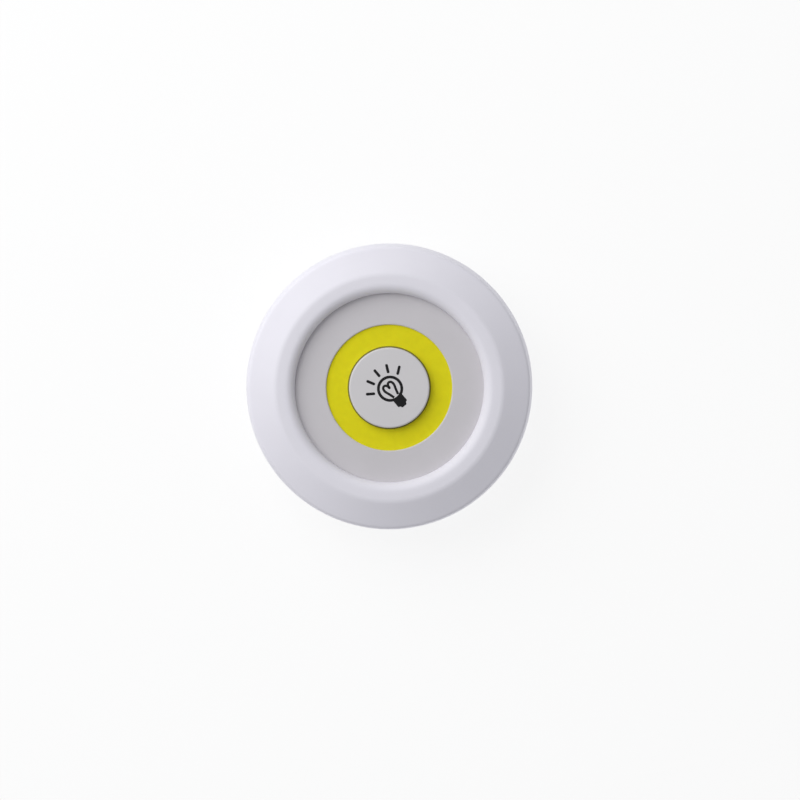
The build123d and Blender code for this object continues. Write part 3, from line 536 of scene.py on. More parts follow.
def around(piece: Piece, angle: float) -> Piece:
    """Turns a piece about the light's axis.

    Args:
        piece: The piece.
        angle: In degrees.

    Returns:
        The same piece.
    """
    piece.matrix_world = Matrix.Rotation(radians(angle), 4, "Z") @ piece.matrix_world
    settle(piece)
    return piece


def again(piece: Piece, angle: float = 0.0, shift: Colour = (0.0, 0.0, 0.0)) -> Piece:
    """Copies a piece with a mesh of its own.

    Args:
        piece: The piece to copy.
        angle: How far the copy is turned about the light's axis, in degrees.
        shift: How far the copy is then moved.

    Returns:
        The copy.
    """
    hold(piece)
    bpy.ops.object.duplicate(linked=False)
    copy = bpy.context.object
    move = Matrix.Translation(Vector(shift) * MM)
    copy.matrix_world = move @ Matrix.Rotation(radians(angle), 4, "Z") @ copy.matrix_world
    settle(copy)
    return copy


def together(pieces: Sequence[Piece]) -> Piece:
    """Joins pieces into one object.

    Args:
        pieces: The pieces, of which the first takes in the others.

    Returns:
        The joined piece.
    """
    hold(pieces[0])
    for piece in pieces[1:]:
        piece.select_set(True)
    if len(pieces) > 1:
        bpy.ops.object.join()
    return pieces[0]


def work(piece: Piece, tool: Piece, how: Join, crossing: bool = False) -> Piece:
    """Works a solid with a tool, which is used up.

    Args:
        piece: The solid.
        tool: The solid that is added, cut away or kept to.
        how: Which of these.
        crossing: Whether either of them has parts that cross one another.

    Returns:
        The worked solid.
    """
    edit(piece)
    edit(tool)
    bpy.ops.mesh.select_all(action="SELECT")
    bpy.ops.object.mode_set(mode="OBJECT")
    together([piece, tool])
    bpy.ops.object.mode_set(mode="EDIT")
    bpy.ops.mesh.intersect_boolean(operation=how.value, use_self=crossing,
                                   threshold=WELD * MM / 10, solver="EXACT")
    bpy.ops.object.mode_set(mode="OBJECT")
    return piece


def drill(x: float, y: float, depth: float, radius: float, mouth: float = 0.25) -> Piece:
    """Makes the tool for a round hole up from the back face, with an eased mouth.

    Args:
        x: The hole's middle across.
        y: Its middle along.
        depth: How deep it is.
        radius: Its radius.
        mouth: Width of its eased mouth.

    Returns:
        The tool.
    """
    wide = radius + mouth
    tool = turned([(0, -0.5), (wide, -0.5), (wide, 0), (radius, mouth), (radius, depth),
                   (0, depth)], steps=48, closed=False)
    tool.location = Vector((x, y, 0)) * MM
    settle(tool)
    flatten(tool)
    return tool


def mould(across: Span, along: Span, depth: float, mouth: float = 0.25) -> Piece:
    """Makes the tool for a square hollow up from the back face, with an eased mouth.

    Args:
        across: Its two ends along X.
        along: Its two ends along Y.
        depth: How deep it is.
        mouth: Width of its eased mouth.

    Returns:
        The tool.
    """
    tool = bar(across, along, (mouth, depth))
    spans = (across, along)
    wide = [1 + 2 * mouth / (span[1] - span[0]) for span in spans]
    middle = [sum(span) / 2 * MM for span in spans]
    edit(tool)
    pick_faces(lambda at, normal: normal.z < -0.9)
    bpy.ops.mesh.extrude_region_move(TRANSFORM_OT_translate={"value": (0, 0, -mouth * MM)})
    bpy.ops.transform.resize(value=(*wide, 1), center_override=(*middle, 0))
    bpy.ops.mesh.extrude_region_move(TRANSFORM_OT_translate={"value": (0, 0, -0.5 * MM)})
    bpy.ops.object.mode_set(mode="OBJECT")
    return tool


def drawn(corners: Sequence[Corner], width: float) -> Piece:
    """Draws an outline in the YZ plane and widens it evenly about the middle plane.

    Args:
        corners: Each a place along Y, a height and perhaps a rounding.
        width: Its width along X.

    Returns:
        The solid.
    """
    piece = outline(rounded(corners, steps=8))
    bpy.ops.mesh.edge_face_add()
    bpy.ops.mesh.select_all(action="SELECT")
    bpy.ops.mesh.extrude_region_move(TRANSFORM_OT_translate={"value": (0, width * MM, 0)})
    close_up()
    settle(piece)
    shift = Matrix.Translation((width / 2 * MM, 0, 0))
    piece.matrix_world = shift @ Matrix.Rotation(pi / 2, 4, "Z") @ piece.matrix_world
    settle(piece)
    return piece


def deliver(piece: Piece, name: str, finish: Finish, body: Body = Body.HOUSING,
            stands_for: Sequence[str] = (), smooth: float = 32) -> Piece:
    """Names, smooths and dresses a finished piece and hands it to the frame.

    Args:
        piece: The finished piece.
        name: Its name.
        finish: Its finish.
        body: What it rides on.
        stands_for: CAD nodes that it replaces.
        smooth: Edges flatter than this, in degrees, are shaded smooth.

    Returns:
        The same piece.
    """
    piece.name = piece.data.name = name
    piece.data.materials.clear()
    piece.data.materials.append(finish.material())
    settle(piece)
    bpy.ops.object.shade_smooth_by_angle(angle=radians(smooth))
    bpy.ops.object.modifier_add(type="WEIGHTED_NORMAL")
    piece.modifiers[-1].keep_sharp = True
    bpy.ops.object.modifier_apply(modifier=piece.modifiers[-1].name)
    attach(piece, body.value)
    if stands_for:
        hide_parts(*stands_for)
    log.info("%s: %d faces", name, len(piece.data.polygons))
    return piece


def dress(node: str, finish: Finish) -> None:
    """Gives a CAD node, whose shape stays, its finish.

    Args:
        node: The node.
        finish: Its finish.
    """
    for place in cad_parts[node].material_slots:
        place.material = finish.material()
    log.info("%s: frame node dressed", node)


# Sub-assemblies


@dataclass(frozen=True)
class FrontShell:
    """The white bezel with its bosses, and the grey panel inside its throat."""

    foot: Span = (43.99, 2.0)
    rim: Span = (43.1, 21.3)
    crest: Span = (34.8, 25.0)
    throat_r: float = 28.9
    roll: float = 3.0
    face_z: float = 21.1
    wall: float = 1.8
    rim_round: float = 1.4
    crest_round: float = 4.0
    post_ring: float = 36.0
    post_degs: tuple[int, ...] = (45, 135, 225, 315)
    post_r: float = 3.0
    post_foot: float = 9.0
    ear_ring: float = 35.2
    ear_degs: tuple[int, ...] = (90, 210, 330)
    ear_r: float = 2.4
    ear_foot: float = 18.7
    web_t: float = 1.2

    def slope_z(self, radius: float, depth: float) -> float:
        """Height of the slope at a radius, a depth under its surface."""
        slant = atan((self.crest[1] - self.rim[1]) / (self.rim[0] - self.crest[0]))
        return self.crest[1] - (radius - self.crest[0]) * tan(slant) - depth / cos(slant)

    def skin(self) -> Piece:
        """Turns the side wall, rim, slope, band and throat as one wall.

        Returns:
            The wall.
        """
        inner_r = self.rim[0] - self.wall
        inside = self.crest[1] - self.wall
        band_r = self.throat_r + self.roll
        return turned([
            (*self.foot, 0.15),
            (*self.rim, self.rim_round),
            (*self.crest, self.crest_round),
            (self.throat_r, self.crest[1], self.roll),
            (self.throat_r, self.face_z, 0.32),
            (self.throat_r + self.wall, self.face_z),
            (self.throat_r + self.wall, self.crest[1] - self.roll),
            (band_r, inside),
            (self.crest[0] - 0.4, inside, 1.0),
            (inner_r, self.slope_z(inner_r, self.wall), 0.5),
            (self.foot[0] - self.wall, self.foot[1]),
        ], steps=256, rounding=8)

    def core(self) -> Piece:
        """Turns a plug that ends half a wall under the surface, to trim bosses with."""
        depth = self.wall / 2
        edge = self.rim[0] - depth
        return turned([
            (0, self.foot[1]),
            (self.foot[0] - depth, self.foot[1]),
            (edge, self.slope_z(edge, depth)),
            (self.crest[0] - 0.2, self.crest[1] - depth),
            (0, self.crest[1] - depth),
        ], steps=96, closed=False)

    def bosses(self) -> Piece:
        """Builds the bosses for the case screws and the tray's screws."""
        top = self.crest[1]
        parts = []
        for angle in self.post_degs:
            parts.append(around(peg(self.post_ring, 0, (self.post_foot, top), self.post_r),
                                angle))
            parts.append(around(bar((self.post_ring, self.foot[0]),
                                    (-self.web_t / 2, self.web_t / 2), (top / 2, top)), angle))
        for angle in self.ear_degs:
            parts.append(around(peg(self.ear_ring, 0, (self.ear_foot, top), self.ear_r), angle))
        posts = work(together(parts), self.core(), Join.KEEP, crossing=True)
        return work(posts, self.drills(), Join.CUT)

    def drills(self) -> Piece:
        """Makes the tools that drill the bosses' pilot holes."""
        holes = [around(peg(self.post_ring, 0, (self.post_foot - 1, 16.6), 1.25, 24), angle)
                 for angle in self.post_degs]
        holes += [around(peg(self.ear_ring, 0, (self.ear_foot - 1, 22.2), 0.9, 20), angle)
                  for angle in self.ear_degs]
        return together(holes)

    def panel(self) -> Piece:
        """Turns the face panel with its thin lip over the ring light."""
        return turned([
            (19.25, 20.5, 0.05),
            (22.0, 20.5),
            (22.0, 19.5),
            (30.6, 19.5),
            (30.6, 21.1),
            (19.25, 21.1, 0.4),
        ], rounding=5)

    def build(self) -> None:
        """Builds the bezel and the face panel."""
        shell = work(self.skin(), self.bosses(), Join.ADD)
        deliver(shell, "bezel", WHITE_PLASTIC, stands_for=["front_bezel"])
        deliver(self.panel(), "panel", PANEL_PLASTIC, stands_for=["face_panel"])


@dataclass(frozen=True)
class RingLight:
    """The chip-on-board ring: phosphor between two silicone dams on its board."""

    inner: Span = (12.2, 12.7)
    outer: Span = (19.3, 19.9)
    board_z: float = 19.9
    top_z: float = 20.5
    dip: float = 0.1

    def fill(self) -> Piece:
        """Turns the phosphor, with a surface that sinks between the dams."""
        low, high = self.inner[1], self.outer[0]
        count = 12
        surface = []
        for step in range(count + 1):
            share = step / count
            rise = (2 * share - 1) ** 4
            surface.append((high + (low - high) * share, self.top_z - self.dip * (1 - rise)))
        return turned([(low, self.board_z), (high, self.board_z), *surface])

    def bead(self, radii: Span) -> Piece:
        """Turns one silicone dam with a round top."""
        low, high = radii
        crown = (high - low) / 2 * 0.9
        return turned([
            (low, self.board_z),
            (high, self.board_z),
            (high, self.top_z, crown),
            (low, self.top_z, crown),
        ])

    def build(self) -> None:
        """Builds the ring and dresses the board, pad and chips under it."""
        deliver(self.fill(), "phosphor", PHOSPHOR, stands_for=["phosphor_ring"])
        # Both dams wear the darkened silicone, whose colour paints the shadow in the gap under the
        # button's edge
        deliver(self.bead(self.inner), "dam_inside", DAM_WITH_PAINTED_SHADE, stands_for=["inner_dam"])
        deliver(self.bead(self.outer), "dam_outside", DAM_WITH_PAINTED_SHADE, stands_for=["outer_dam"])
        dress("cob_board", BOARD_ALUMINIUM)
        dress("thermal_pad", PAD_SILICONE)
        dress("led_chips", CHIP_YELLOW)
        dress("solder_joints", SOLDER)
        dress("light_carrier", WHITE_PLASTIC)


@dataclass(frozen=True)
class PushButton:
    """The push button with its snap legs, its bulb symbol and plunger."""

    head_r: float = 12.3
    top_z: float = 23.0
    back_z: float = 21.7
    edge: float = 0.5
    skirt: Span = (10.5, 11.4)
    skirt_foot: float = 18.4
    hook: Span = (16.15, 16.95)
    hook_r: float = 12.1
    hub_r: float = 2.4
    hub_foot: float = 20.8
    leg_half: float = 2.0
    slot_w: float = 1.0
    inset: float = 0.03

    def head(self) -> Piece:
        """Turns the round head, its skirt and its hub."""
        low, high = self.skirt
        return turned([
            (0, self.hub_foot),
            (self.hub_r, self.hub_foot, 0.15),
            (self.hub_r, self.back_z, 0.2),
            (low, self.back_z, 0.2),
            (low, self.skirt_foot, 0.1),
            (high, self.skirt_foot, 0.1),
            (high, self.back_z, 0.15),
            (self.head_r, self.back_z, 0.1),
            (self.head_r, self.top_z, self.edge),
            (0, self.top_z),
        ], rounding=6, closed=False)

    def slots(self) -> Piece:
        """Makes the tools that cut the four slots beside the snap legs."""
        tools = []
        for side in (0, 180):
            for edge in (1, -1):
                middle = edge * (self.leg_half + self.slot_w / 2)
                span = (middle - self.slot_w / 2, middle + self.slot_w / 2)
                cut = bar((self.skirt[0] - 0.9, 12.05), span,
                          (self.skirt_foot - 1, self.back_z - 0.8))
                tools.append(around(cut, side))
        return together(tools)

    def leg(self, side: float) -> Piece:
        """Builds one snap leg, as wide as the slots leave it, with its hook."""
        low, high = self.skirt[0] + self.inset, self.skirt[1] - self.inset
        foot, top = self.hook
        half = degrees(asin((self.leg_half - self.inset) / high))
        shape = [
            (low, foot, 0.12),
            (self.hook_r - 0.25, foot, 0.1),
            (self.hook_r, foot + 0.35, 0.1),
            (self.hook_r, top, 0.06),
            (high, top, 0.06),
            (high, self.skirt_foot + 0.6),
            (low, self.skirt_foot + 0.6),
        ]
        return sector(shape, side, half)

    def ribs(self) -> list[Piece]:
        """Builds the two guide keys and the four spokes under the head."""
        low = self.skirt[0]
        parts = [around(bar((low, 11.9), (-0.75, 0.75), (20.0, self.back_z + 0.2), 0.08), turn)
                 for turn in (90, 270)]
        parts += [around(bar((4.1, low + 0.2), (-0.4, 0.4),
                             (self.back_z - 0.8, self.back_z + 0.2), 0.08), turn)
                  for turn in (45, 135, 225, 315)]
        return parts

    def build(self) -> None:
        """Builds the button and what moves with it."""
        cap = work(self.head(), self.slots(), Join.CUT)
        cap = work(cap, together([self.leg(0), self.leg(180), *self.ribs()]), Join.ADD)
        deliver(cap, "button", BUTTON_PLASTIC, Body.BUTTON, ["button_cap"])
        dress("switch_plunger", BLACK_PLASTIC)
        BulbSymbol(self.top_z).build()


@dataclass(frozen=True)
class BulbSymbol:
    """A plain light bulb with five rays, printed on the button in raised ink."""

    face_z: float
    ink: float = 0.03
    middle: Span = (0.256, -0.277)
    axis_deg: float = 130.3
    bulb_r: float = 3.57
    line: float = 0.86
    ray_r: float = 6.19
    ray_l: float = 2.85
    ray_w: float = 0.84
    ray_step: float = 32.4
    fan_step: float = 26.7
    filament_w: float = 0.76

    def place(self, up: float, right: float) -> Vector:
        """A point of the symbol, from how far it is up its axis and to the right of it."""
        turn = radians(self.axis_deg)
        return Vector((self.middle[0] + up * cos(turn) + right * sin(turn),
                       self.middle[1] + up * sin(turn) - right * cos(turn), self.face_z))

    def bulb(self) -> Piece:
        """Turns the bulb's outline as a flat ring."""
        low, high = self.bulb_r - self.line / 2, self.bulb_r + self.line / 2
        ring = turned([(low, 0), (high, 0), (high, self.ink, 0.012), (low, self.ink, 0.012)],
                      steps=96, rounding=2)
        ring.location = Vector((*self.middle, self.face_z)) * MM
        settle(ring)
        return ring

    def stroke(self, points: Sequence[Span], width: float, order: int = 3) -> Piece:
        """Draws a line with round ends along points of the symbol.

        Args:
            points: Each how far up the axis and how far right of it.
            width: The line's width.
            order: How smoothly it follows the points, 2 for straight runs.

        Returns:
            The line as a flat bead of ink.
        """
        hold()
        bpy.ops.curve.primitive_nurbs_path_add()
        path = bpy.context.object
        curve = path.data
        curve.splines.clear()
        line = curve.splines.new("NURBS")
        line.points.add(len(points) - 1)
        for point, spot in zip(line.points, points):
            point.co = (*(self.place(*spot) * MM), 1.0)
        line.order_u = order
        line.use_endpoint_u = True
        line.resolution_u = 12
        curve.dimensions = "3D"
        curve.bevel_depth = width / 2 * MM
        curve.bevel_resolution = 3
        curve.use_fill_caps = True
        bpy.ops.object.convert(target="MESH")
        piece = bpy.context.object
        flat = self.ink * 2 / width
        foot = self.face_z * MM
        piece.matrix_world = (Matrix.Translation((0, 0, foot)) @ Matrix.Scale(flat, 4, (0, 0, 1))
                              @ Matrix.Translation((0, 0, -foot)) @ piece.matrix_world)
        settle(piece)
        edit(piece)
        close_up()
        return piece

    def put(self, piece: Piece, degs: float) -> Piece:
        """Turns a piece of the symbol about the bulb and lays it on the button."""
        around(piece, degs)
        piece.location = Vector((*self.middle, self.face_z)) * MM
        settle(piece)
        return piece

    def rays(self) -> list[Piece]:
        """Builds the five rays as bars with round ends, fanned a little less than placed."""
        parts = []
        for step in range(-2, 3):
            ray = bar((-self.ray_l / 2, self.ray_l / 2), (-self.ray_w / 2, self.ray_w / 2),
                      (0, self.ink))
            edit(ray)
            pick_edges(lambda a, b: abs(a.z - b.z) > self.ink / 2)
            bpy.ops.mesh.bevel(offset=self.ray_w * 0.45 * MM, segments=5, affect="EDGES")
            bpy.ops.object.mode_set(mode="OBJECT")
            around(ray, step * (self.fan_step - self.ray_step))
            ray.location.x = self.ray_r * MM
            settle(ray)
            parts.append(self.put(ray, self.axis_deg + step * self.ray_step))
        return parts

    def base(self) -> Piece:
        """Builds the bulb's base, a block with a narrower tip."""
        near, far, tip, half = -3.3, -6.0, -6.85, 1.72
        block = bar((far, near), (-half, half), (0, self.ink))
        edit(block)
        pick_faces(lambda middle, normal: normal.x < -0.9)
        bpy.ops.mesh.extrude_region_move(TRANSFORM_OT_translate={"value": (-0.15 * MM, 0, 0)})
        bpy.ops.transform.resize(value=(1, 0.66, 1))
        bpy.ops.mesh.extrude_region_move(
            TRANSFORM_OT_translate={"value": ((tip - far + 0.15) * MM, 0, 0)})
        bpy.ops.transform.resize(value=(1, 0.7, 1))
        pick_edges(lambda a, b: abs(a.z - b.z) > self.ink / 2 and a.x < near - 0.1)
        bpy.ops.mesh.bevel(offset=0.18 * MM, segments=4, affect="EDGES")
        bpy.ops.object.mode_set(mode="OBJECT")
        return self.put(block, self.axis_deg)

    def build(self) -> None:
        """Builds the symbol as five kinds of stroke."""
        deliver(work(self.bulb(), self.base(), Join.ADD), "symbol_bulb", BLACK_INK, Body.BUTTON)
        deliver(together(self.rays()), "symbol_rays", BLACK_INK, Body.BUTTON)
        half = [(-2.85, 0.8), (-1.2, 1.25), (0.3, 1.85), (1.5, 1.65), (1.85, 0.75), (1.2, 0.1)]
        loop = [(up, -right) for up, right in half] + [(-0.05, 0)] + half[::-1]
        deliver(self.stroke(loop, self.filament_w), "symbol_filament", BLACK_INK, Body.BUTTON)


@dataclass(frozen=True)
class Coil:
    """A round-wire compression spring with closed end turns."""

    turns: float
    height: float
    foot_r: float
    tip_r: float
    wire_r: float
    foot: float
    per_turn: int = 28

    def rise(self, turn: float) -> float:
        """Height of the wire's middle after a number of turns."""
        closed = 2.1 * self.wire_r
        span = self.height - 2 * self.wire_r
        if turn <= 1:
            return closed * turn
        if turn >= self.turns - 1:
            return span - closed * (self.turns - turn)
        return closed + (span - 2 * closed) * (turn - 1) / (self.turns - 2)

    def build(self) -> Piece:
        """Winds the spring up the light's axis from its foot."""
        hold()
        bpy.ops.curve.primitive_nurbs_path_add()
        curve = bpy.context.object.data
        curve.splines.clear()
        count = int(self.turns * self.per_turn)
        line = curve.splines.new("POLY")
        line.points.add(count)
        for index, point in enumerate(line.points):
            turn = self.turns * index / count
            radius = self.foot_r + (self.tip_r - self.foot_r) * turn / self.turns
            spot = (radius * cos(2 * pi * turn), radius * sin(2 * pi * turn),
                    self.foot + self.wire_r + self.rise(turn))
            point.co = (*(Vector(spot) * MM), 1.0)
        curve.bevel_depth = self.wire_r * MM
        curve.bevel_resolution = 3
        curve.use_fill_caps = True
        bpy.ops.object.convert(target="MESH")
        piece = bpy.context.object
        settle(piece)
        edit(piece)
        close_up()
        return piece


@dataclass(frozen=True)
class Electronics:
    """The circuit board over the bay, what is soldered to it and its leads."""

    switch_z: float = 19.2
    head_z: float = 21.7

    def build(self) -> None:
        """Builds the return spring and dresses the board's parts."""
        low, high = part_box("return_spring")
        spring = Coil(4.5, (high.z - low.z) / MM, 3.3, 3.3, 0.15, low.z / MM).build()
        deliver(spring, "spring_return", SPRING_STEEL, stands_for=["return_spring"])
        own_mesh(spring)
        dress("switch_body", BLACK_PLASTIC)
        dress("circuit_board", LAMINATE)
        dress("driver_chip", BLACK_PLASTIC)
        dress("chip_resistors", CHIP_CERAMIC)
        dress("capacitor", CAPACITOR_TAN)
        for lead in ("led_lead", "battery_lead"):
            dress(lead + "_red", LEAD_RED)
            dress(lead + "_black", LEAD_BLACK)


@dataclass(frozen=True)
class CrossScrew:
    """A pan-head screw with a cross recess."""

    head_r: float
    head_h: float
    shank_r: float
    shank_l: float

    def build(self) -> Piece:
        """Builds the screw head down, with its seat at the origin."""
        body = turned([
            (0, -self.head_h),
            (self.head_r, -self.head_h, self.head_h * 0.45),
            (self.head_r, 0, 0.08),
            (self.shank_r, 0, 0.05),
            (self.shank_r, self.shank_l - self.shank_r),
            (self.shank_r * 0.45, self.shank_l),
            (0, self.shank_l),
        ], steps=48, rounding=5, closed=False)
        reach, half, depth = self.head_r * 0.55, self.head_r * 0.1, self.head_h * 0.6
        for turn in (0, 90):
            slot = bar((-reach, reach), (-half, half), (-self.head_h - 0.5, depth - self.head_h))
            edit(slot)
            pick_faces(lambda middle, normal: normal.z > 0.9)
            bpy.ops.transform.resize(value=(0.45, 0.7, 1))
            bpy.ops.object.mode_set(mode="OBJECT")
            body = work(body, around(slot, turn), Join.CUT)
        return body


@dataclass(frozen=True)
class Fasteners:
    """The screws of the case, of the light's tray and of the circuit board."""

    def ring(self, screw: CrossScrew, spots: Sequence[Corner], downward: bool) -> Piece:
        """Copies one screw to several seats.

        Args:
            screw: The screw.
            spots: Its seats, each three coordinates.
            downward: Whether the shank points down.

        Returns:
            The screws as one piece.
        """
        model = screw.build()
        if downward:
            model.matrix_world = Matrix.Rotation(pi, 4, "X") @ model.matrix_world
            settle(model)
        copies = [again(model, 17 * index, spot) for index, spot in enumerate(spots)]
        bpy.data.objects.remove(model)
        return together(copies)

    def polar(self, radius: float, degs: Sequence[int], height: float) -> list[Corner]:
        """Seats on a circle about the light's axis."""
        return [(radius * cos(radians(deg)), radius * sin(radians(deg)), height)
                for deg in degs]

    def build(self) -> None:
        """Builds all nine screws."""
        shell = FrontShell()
        case = self.ring(CrossScrew(2.6, 1.8, 1.2, 9.5),
                         self.polar(shell.post_ring, shell.post_degs, 6.5), False)
        deliver(case, "screws_case", ZINC_STEEL, stands_for=["case_screws"])
        tray = self.ring(CrossScrew(1.7, 1.2, 0.85, 4.4),
                         self.polar(shell.ear_ring, shell.ear_degs, 17.2), False)
        deliver(tray, "screws_tray", ZINC_STEEL, stands_for=["carrier_screws"])
        low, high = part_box("board_screws")
        reach = 1.6
        seats = [(high.x / MM - reach, high.y / MM - reach, 15.6),
                 (low.x / MM + reach, low.y / MM + reach, 15.6)]
        board = self.ring(CrossScrew(1.6, 1.1, 0.85, 3.4), seats, True)
        deliver(board, "screws_board", ZINC_STEEL, stands_for=["board_screws"])


@dataclass(frozen=True)
class BatteryBay:
    """Three cells side by side, with the springs and plates that join them."""

    cell_r: float = 5.25
    cell_l: float = 44.5
    pitch: float = 11.0
    axis_z: float = 7.25
    nub_r: float = 1.9

    def lay(self, piece: Piece, index: int, start: float) -> Piece:
        """Lays an upright piece along the bay at one cell's place.

        Args:
            piece: The piece, standing on the origin.
            index: Which cell, from the left as seen from the front.
            start: Where the piece's foot lies along the cell's own direction.

        Returns:
            The same piece.
        """
        turn = Matrix.Rotation(pi if index == 1 else 0, 4, "Z")
        move = Matrix.Translation(Vector((self.pitch * (index - 1), 0, self.axis_z)) * MM)
        slide = Matrix.Translation(Vector((0, start, 0)) * MM)
        piece.matrix_world = (move @ turn @ slide @ Matrix.Rotation(-pi / 2, 4, "X")
                              @ piece.matrix_world)
        settle(piece)
        return piece

    def sleeve(self) -> Piece:
        """Turns the shrink sleeve, curled over both ends of the can."""
        radius, length = self.cell_r, self.cell_l - 0.8
        return turned([
            (4.3, 0.05),
            (radius, 0.05, 0.5),
            (radius, length - 7.0, 0.03),
            (radius - 0.06, length - 6.9),
            (radius - 0.06, length, 0.55),
            (4.0, length),
            (4.0, length - 0.5),
            (radius - 0.35, length - 0.5, 0.3),
            (radius - 0.35, 0.6, 0.3),
            (4.3, 0.6),
        ], steps=64)

    def band(self) -> Piece:
        """Turns the pale band that marks the end with the nub."""
        radius, length = self.cell_r, self.cell_l - 0.8
        return turned([
            (radius - 0.2, length - 6.9),
            (radius, length - 6.9, 0.03),
            (radius, length - 1.0, 0.03),
            (radius - 0.2, length - 1.0),
        ], steps=64)

    def can(self) -> Piece:
        """Turns the steel can with its base and its nub."""
        length = self.cell_l
        return turned([
            (0, 0.02),
            (3.3, 0.02, 0.15),
            (3.5, 0.2, 0.1),
            (4.4, 0.2, 0.1),
            (4.85, 0.7),
            (4.85, length - 1.4),
            (4.3, length - 1.05, 0.2),
            (2.6, length - 1.05, 0.1),
            (2.4, length - 0.85, 0.1),
            (self.nub_r, length - 0.8, 0.1),
            (self.nub_r - 0.08, length, 0.25),
            (0, length),
        ], steps=64, closed=False)

    def build(self) -> None:
        """Builds the cells and springs and dresses the plates."""
        face = 24.6 - 0.35
        start = face - 0.6 - self.cell_l
        spring_l = start + face
        for index in range(3):
            node = f"battery_cell_{index + 1}"
            sleeve = self.lay(self.sleeve(), index, start)
            deliver(sleeve, f"cell_{index + 1}_sleeve", CELL_SLEEVE, stands_for=[node])
            deliver(self.lay(self.band(), index, start), f"cell_{index + 1}_band", CELL_BAND)
            deliver(self.lay(self.can(), index, start), f"cell_{index + 1}_can", NICKEL)
            coil = Coil(4.0, spring_l - 0.06, 3.2, 2.0, 0.25, 0.03).build()
            deliver(self.lay(coil, index, -face), f"cell_{index + 1}_spring", NICKEL,
                    stands_for=[f"contact_spring_{index + 1}"])
        for node in ("positive_contact", "negative_contact", "bridge_contact_top",
                     "bridge_contact_bottom"):
            dress(node, NICKEL)


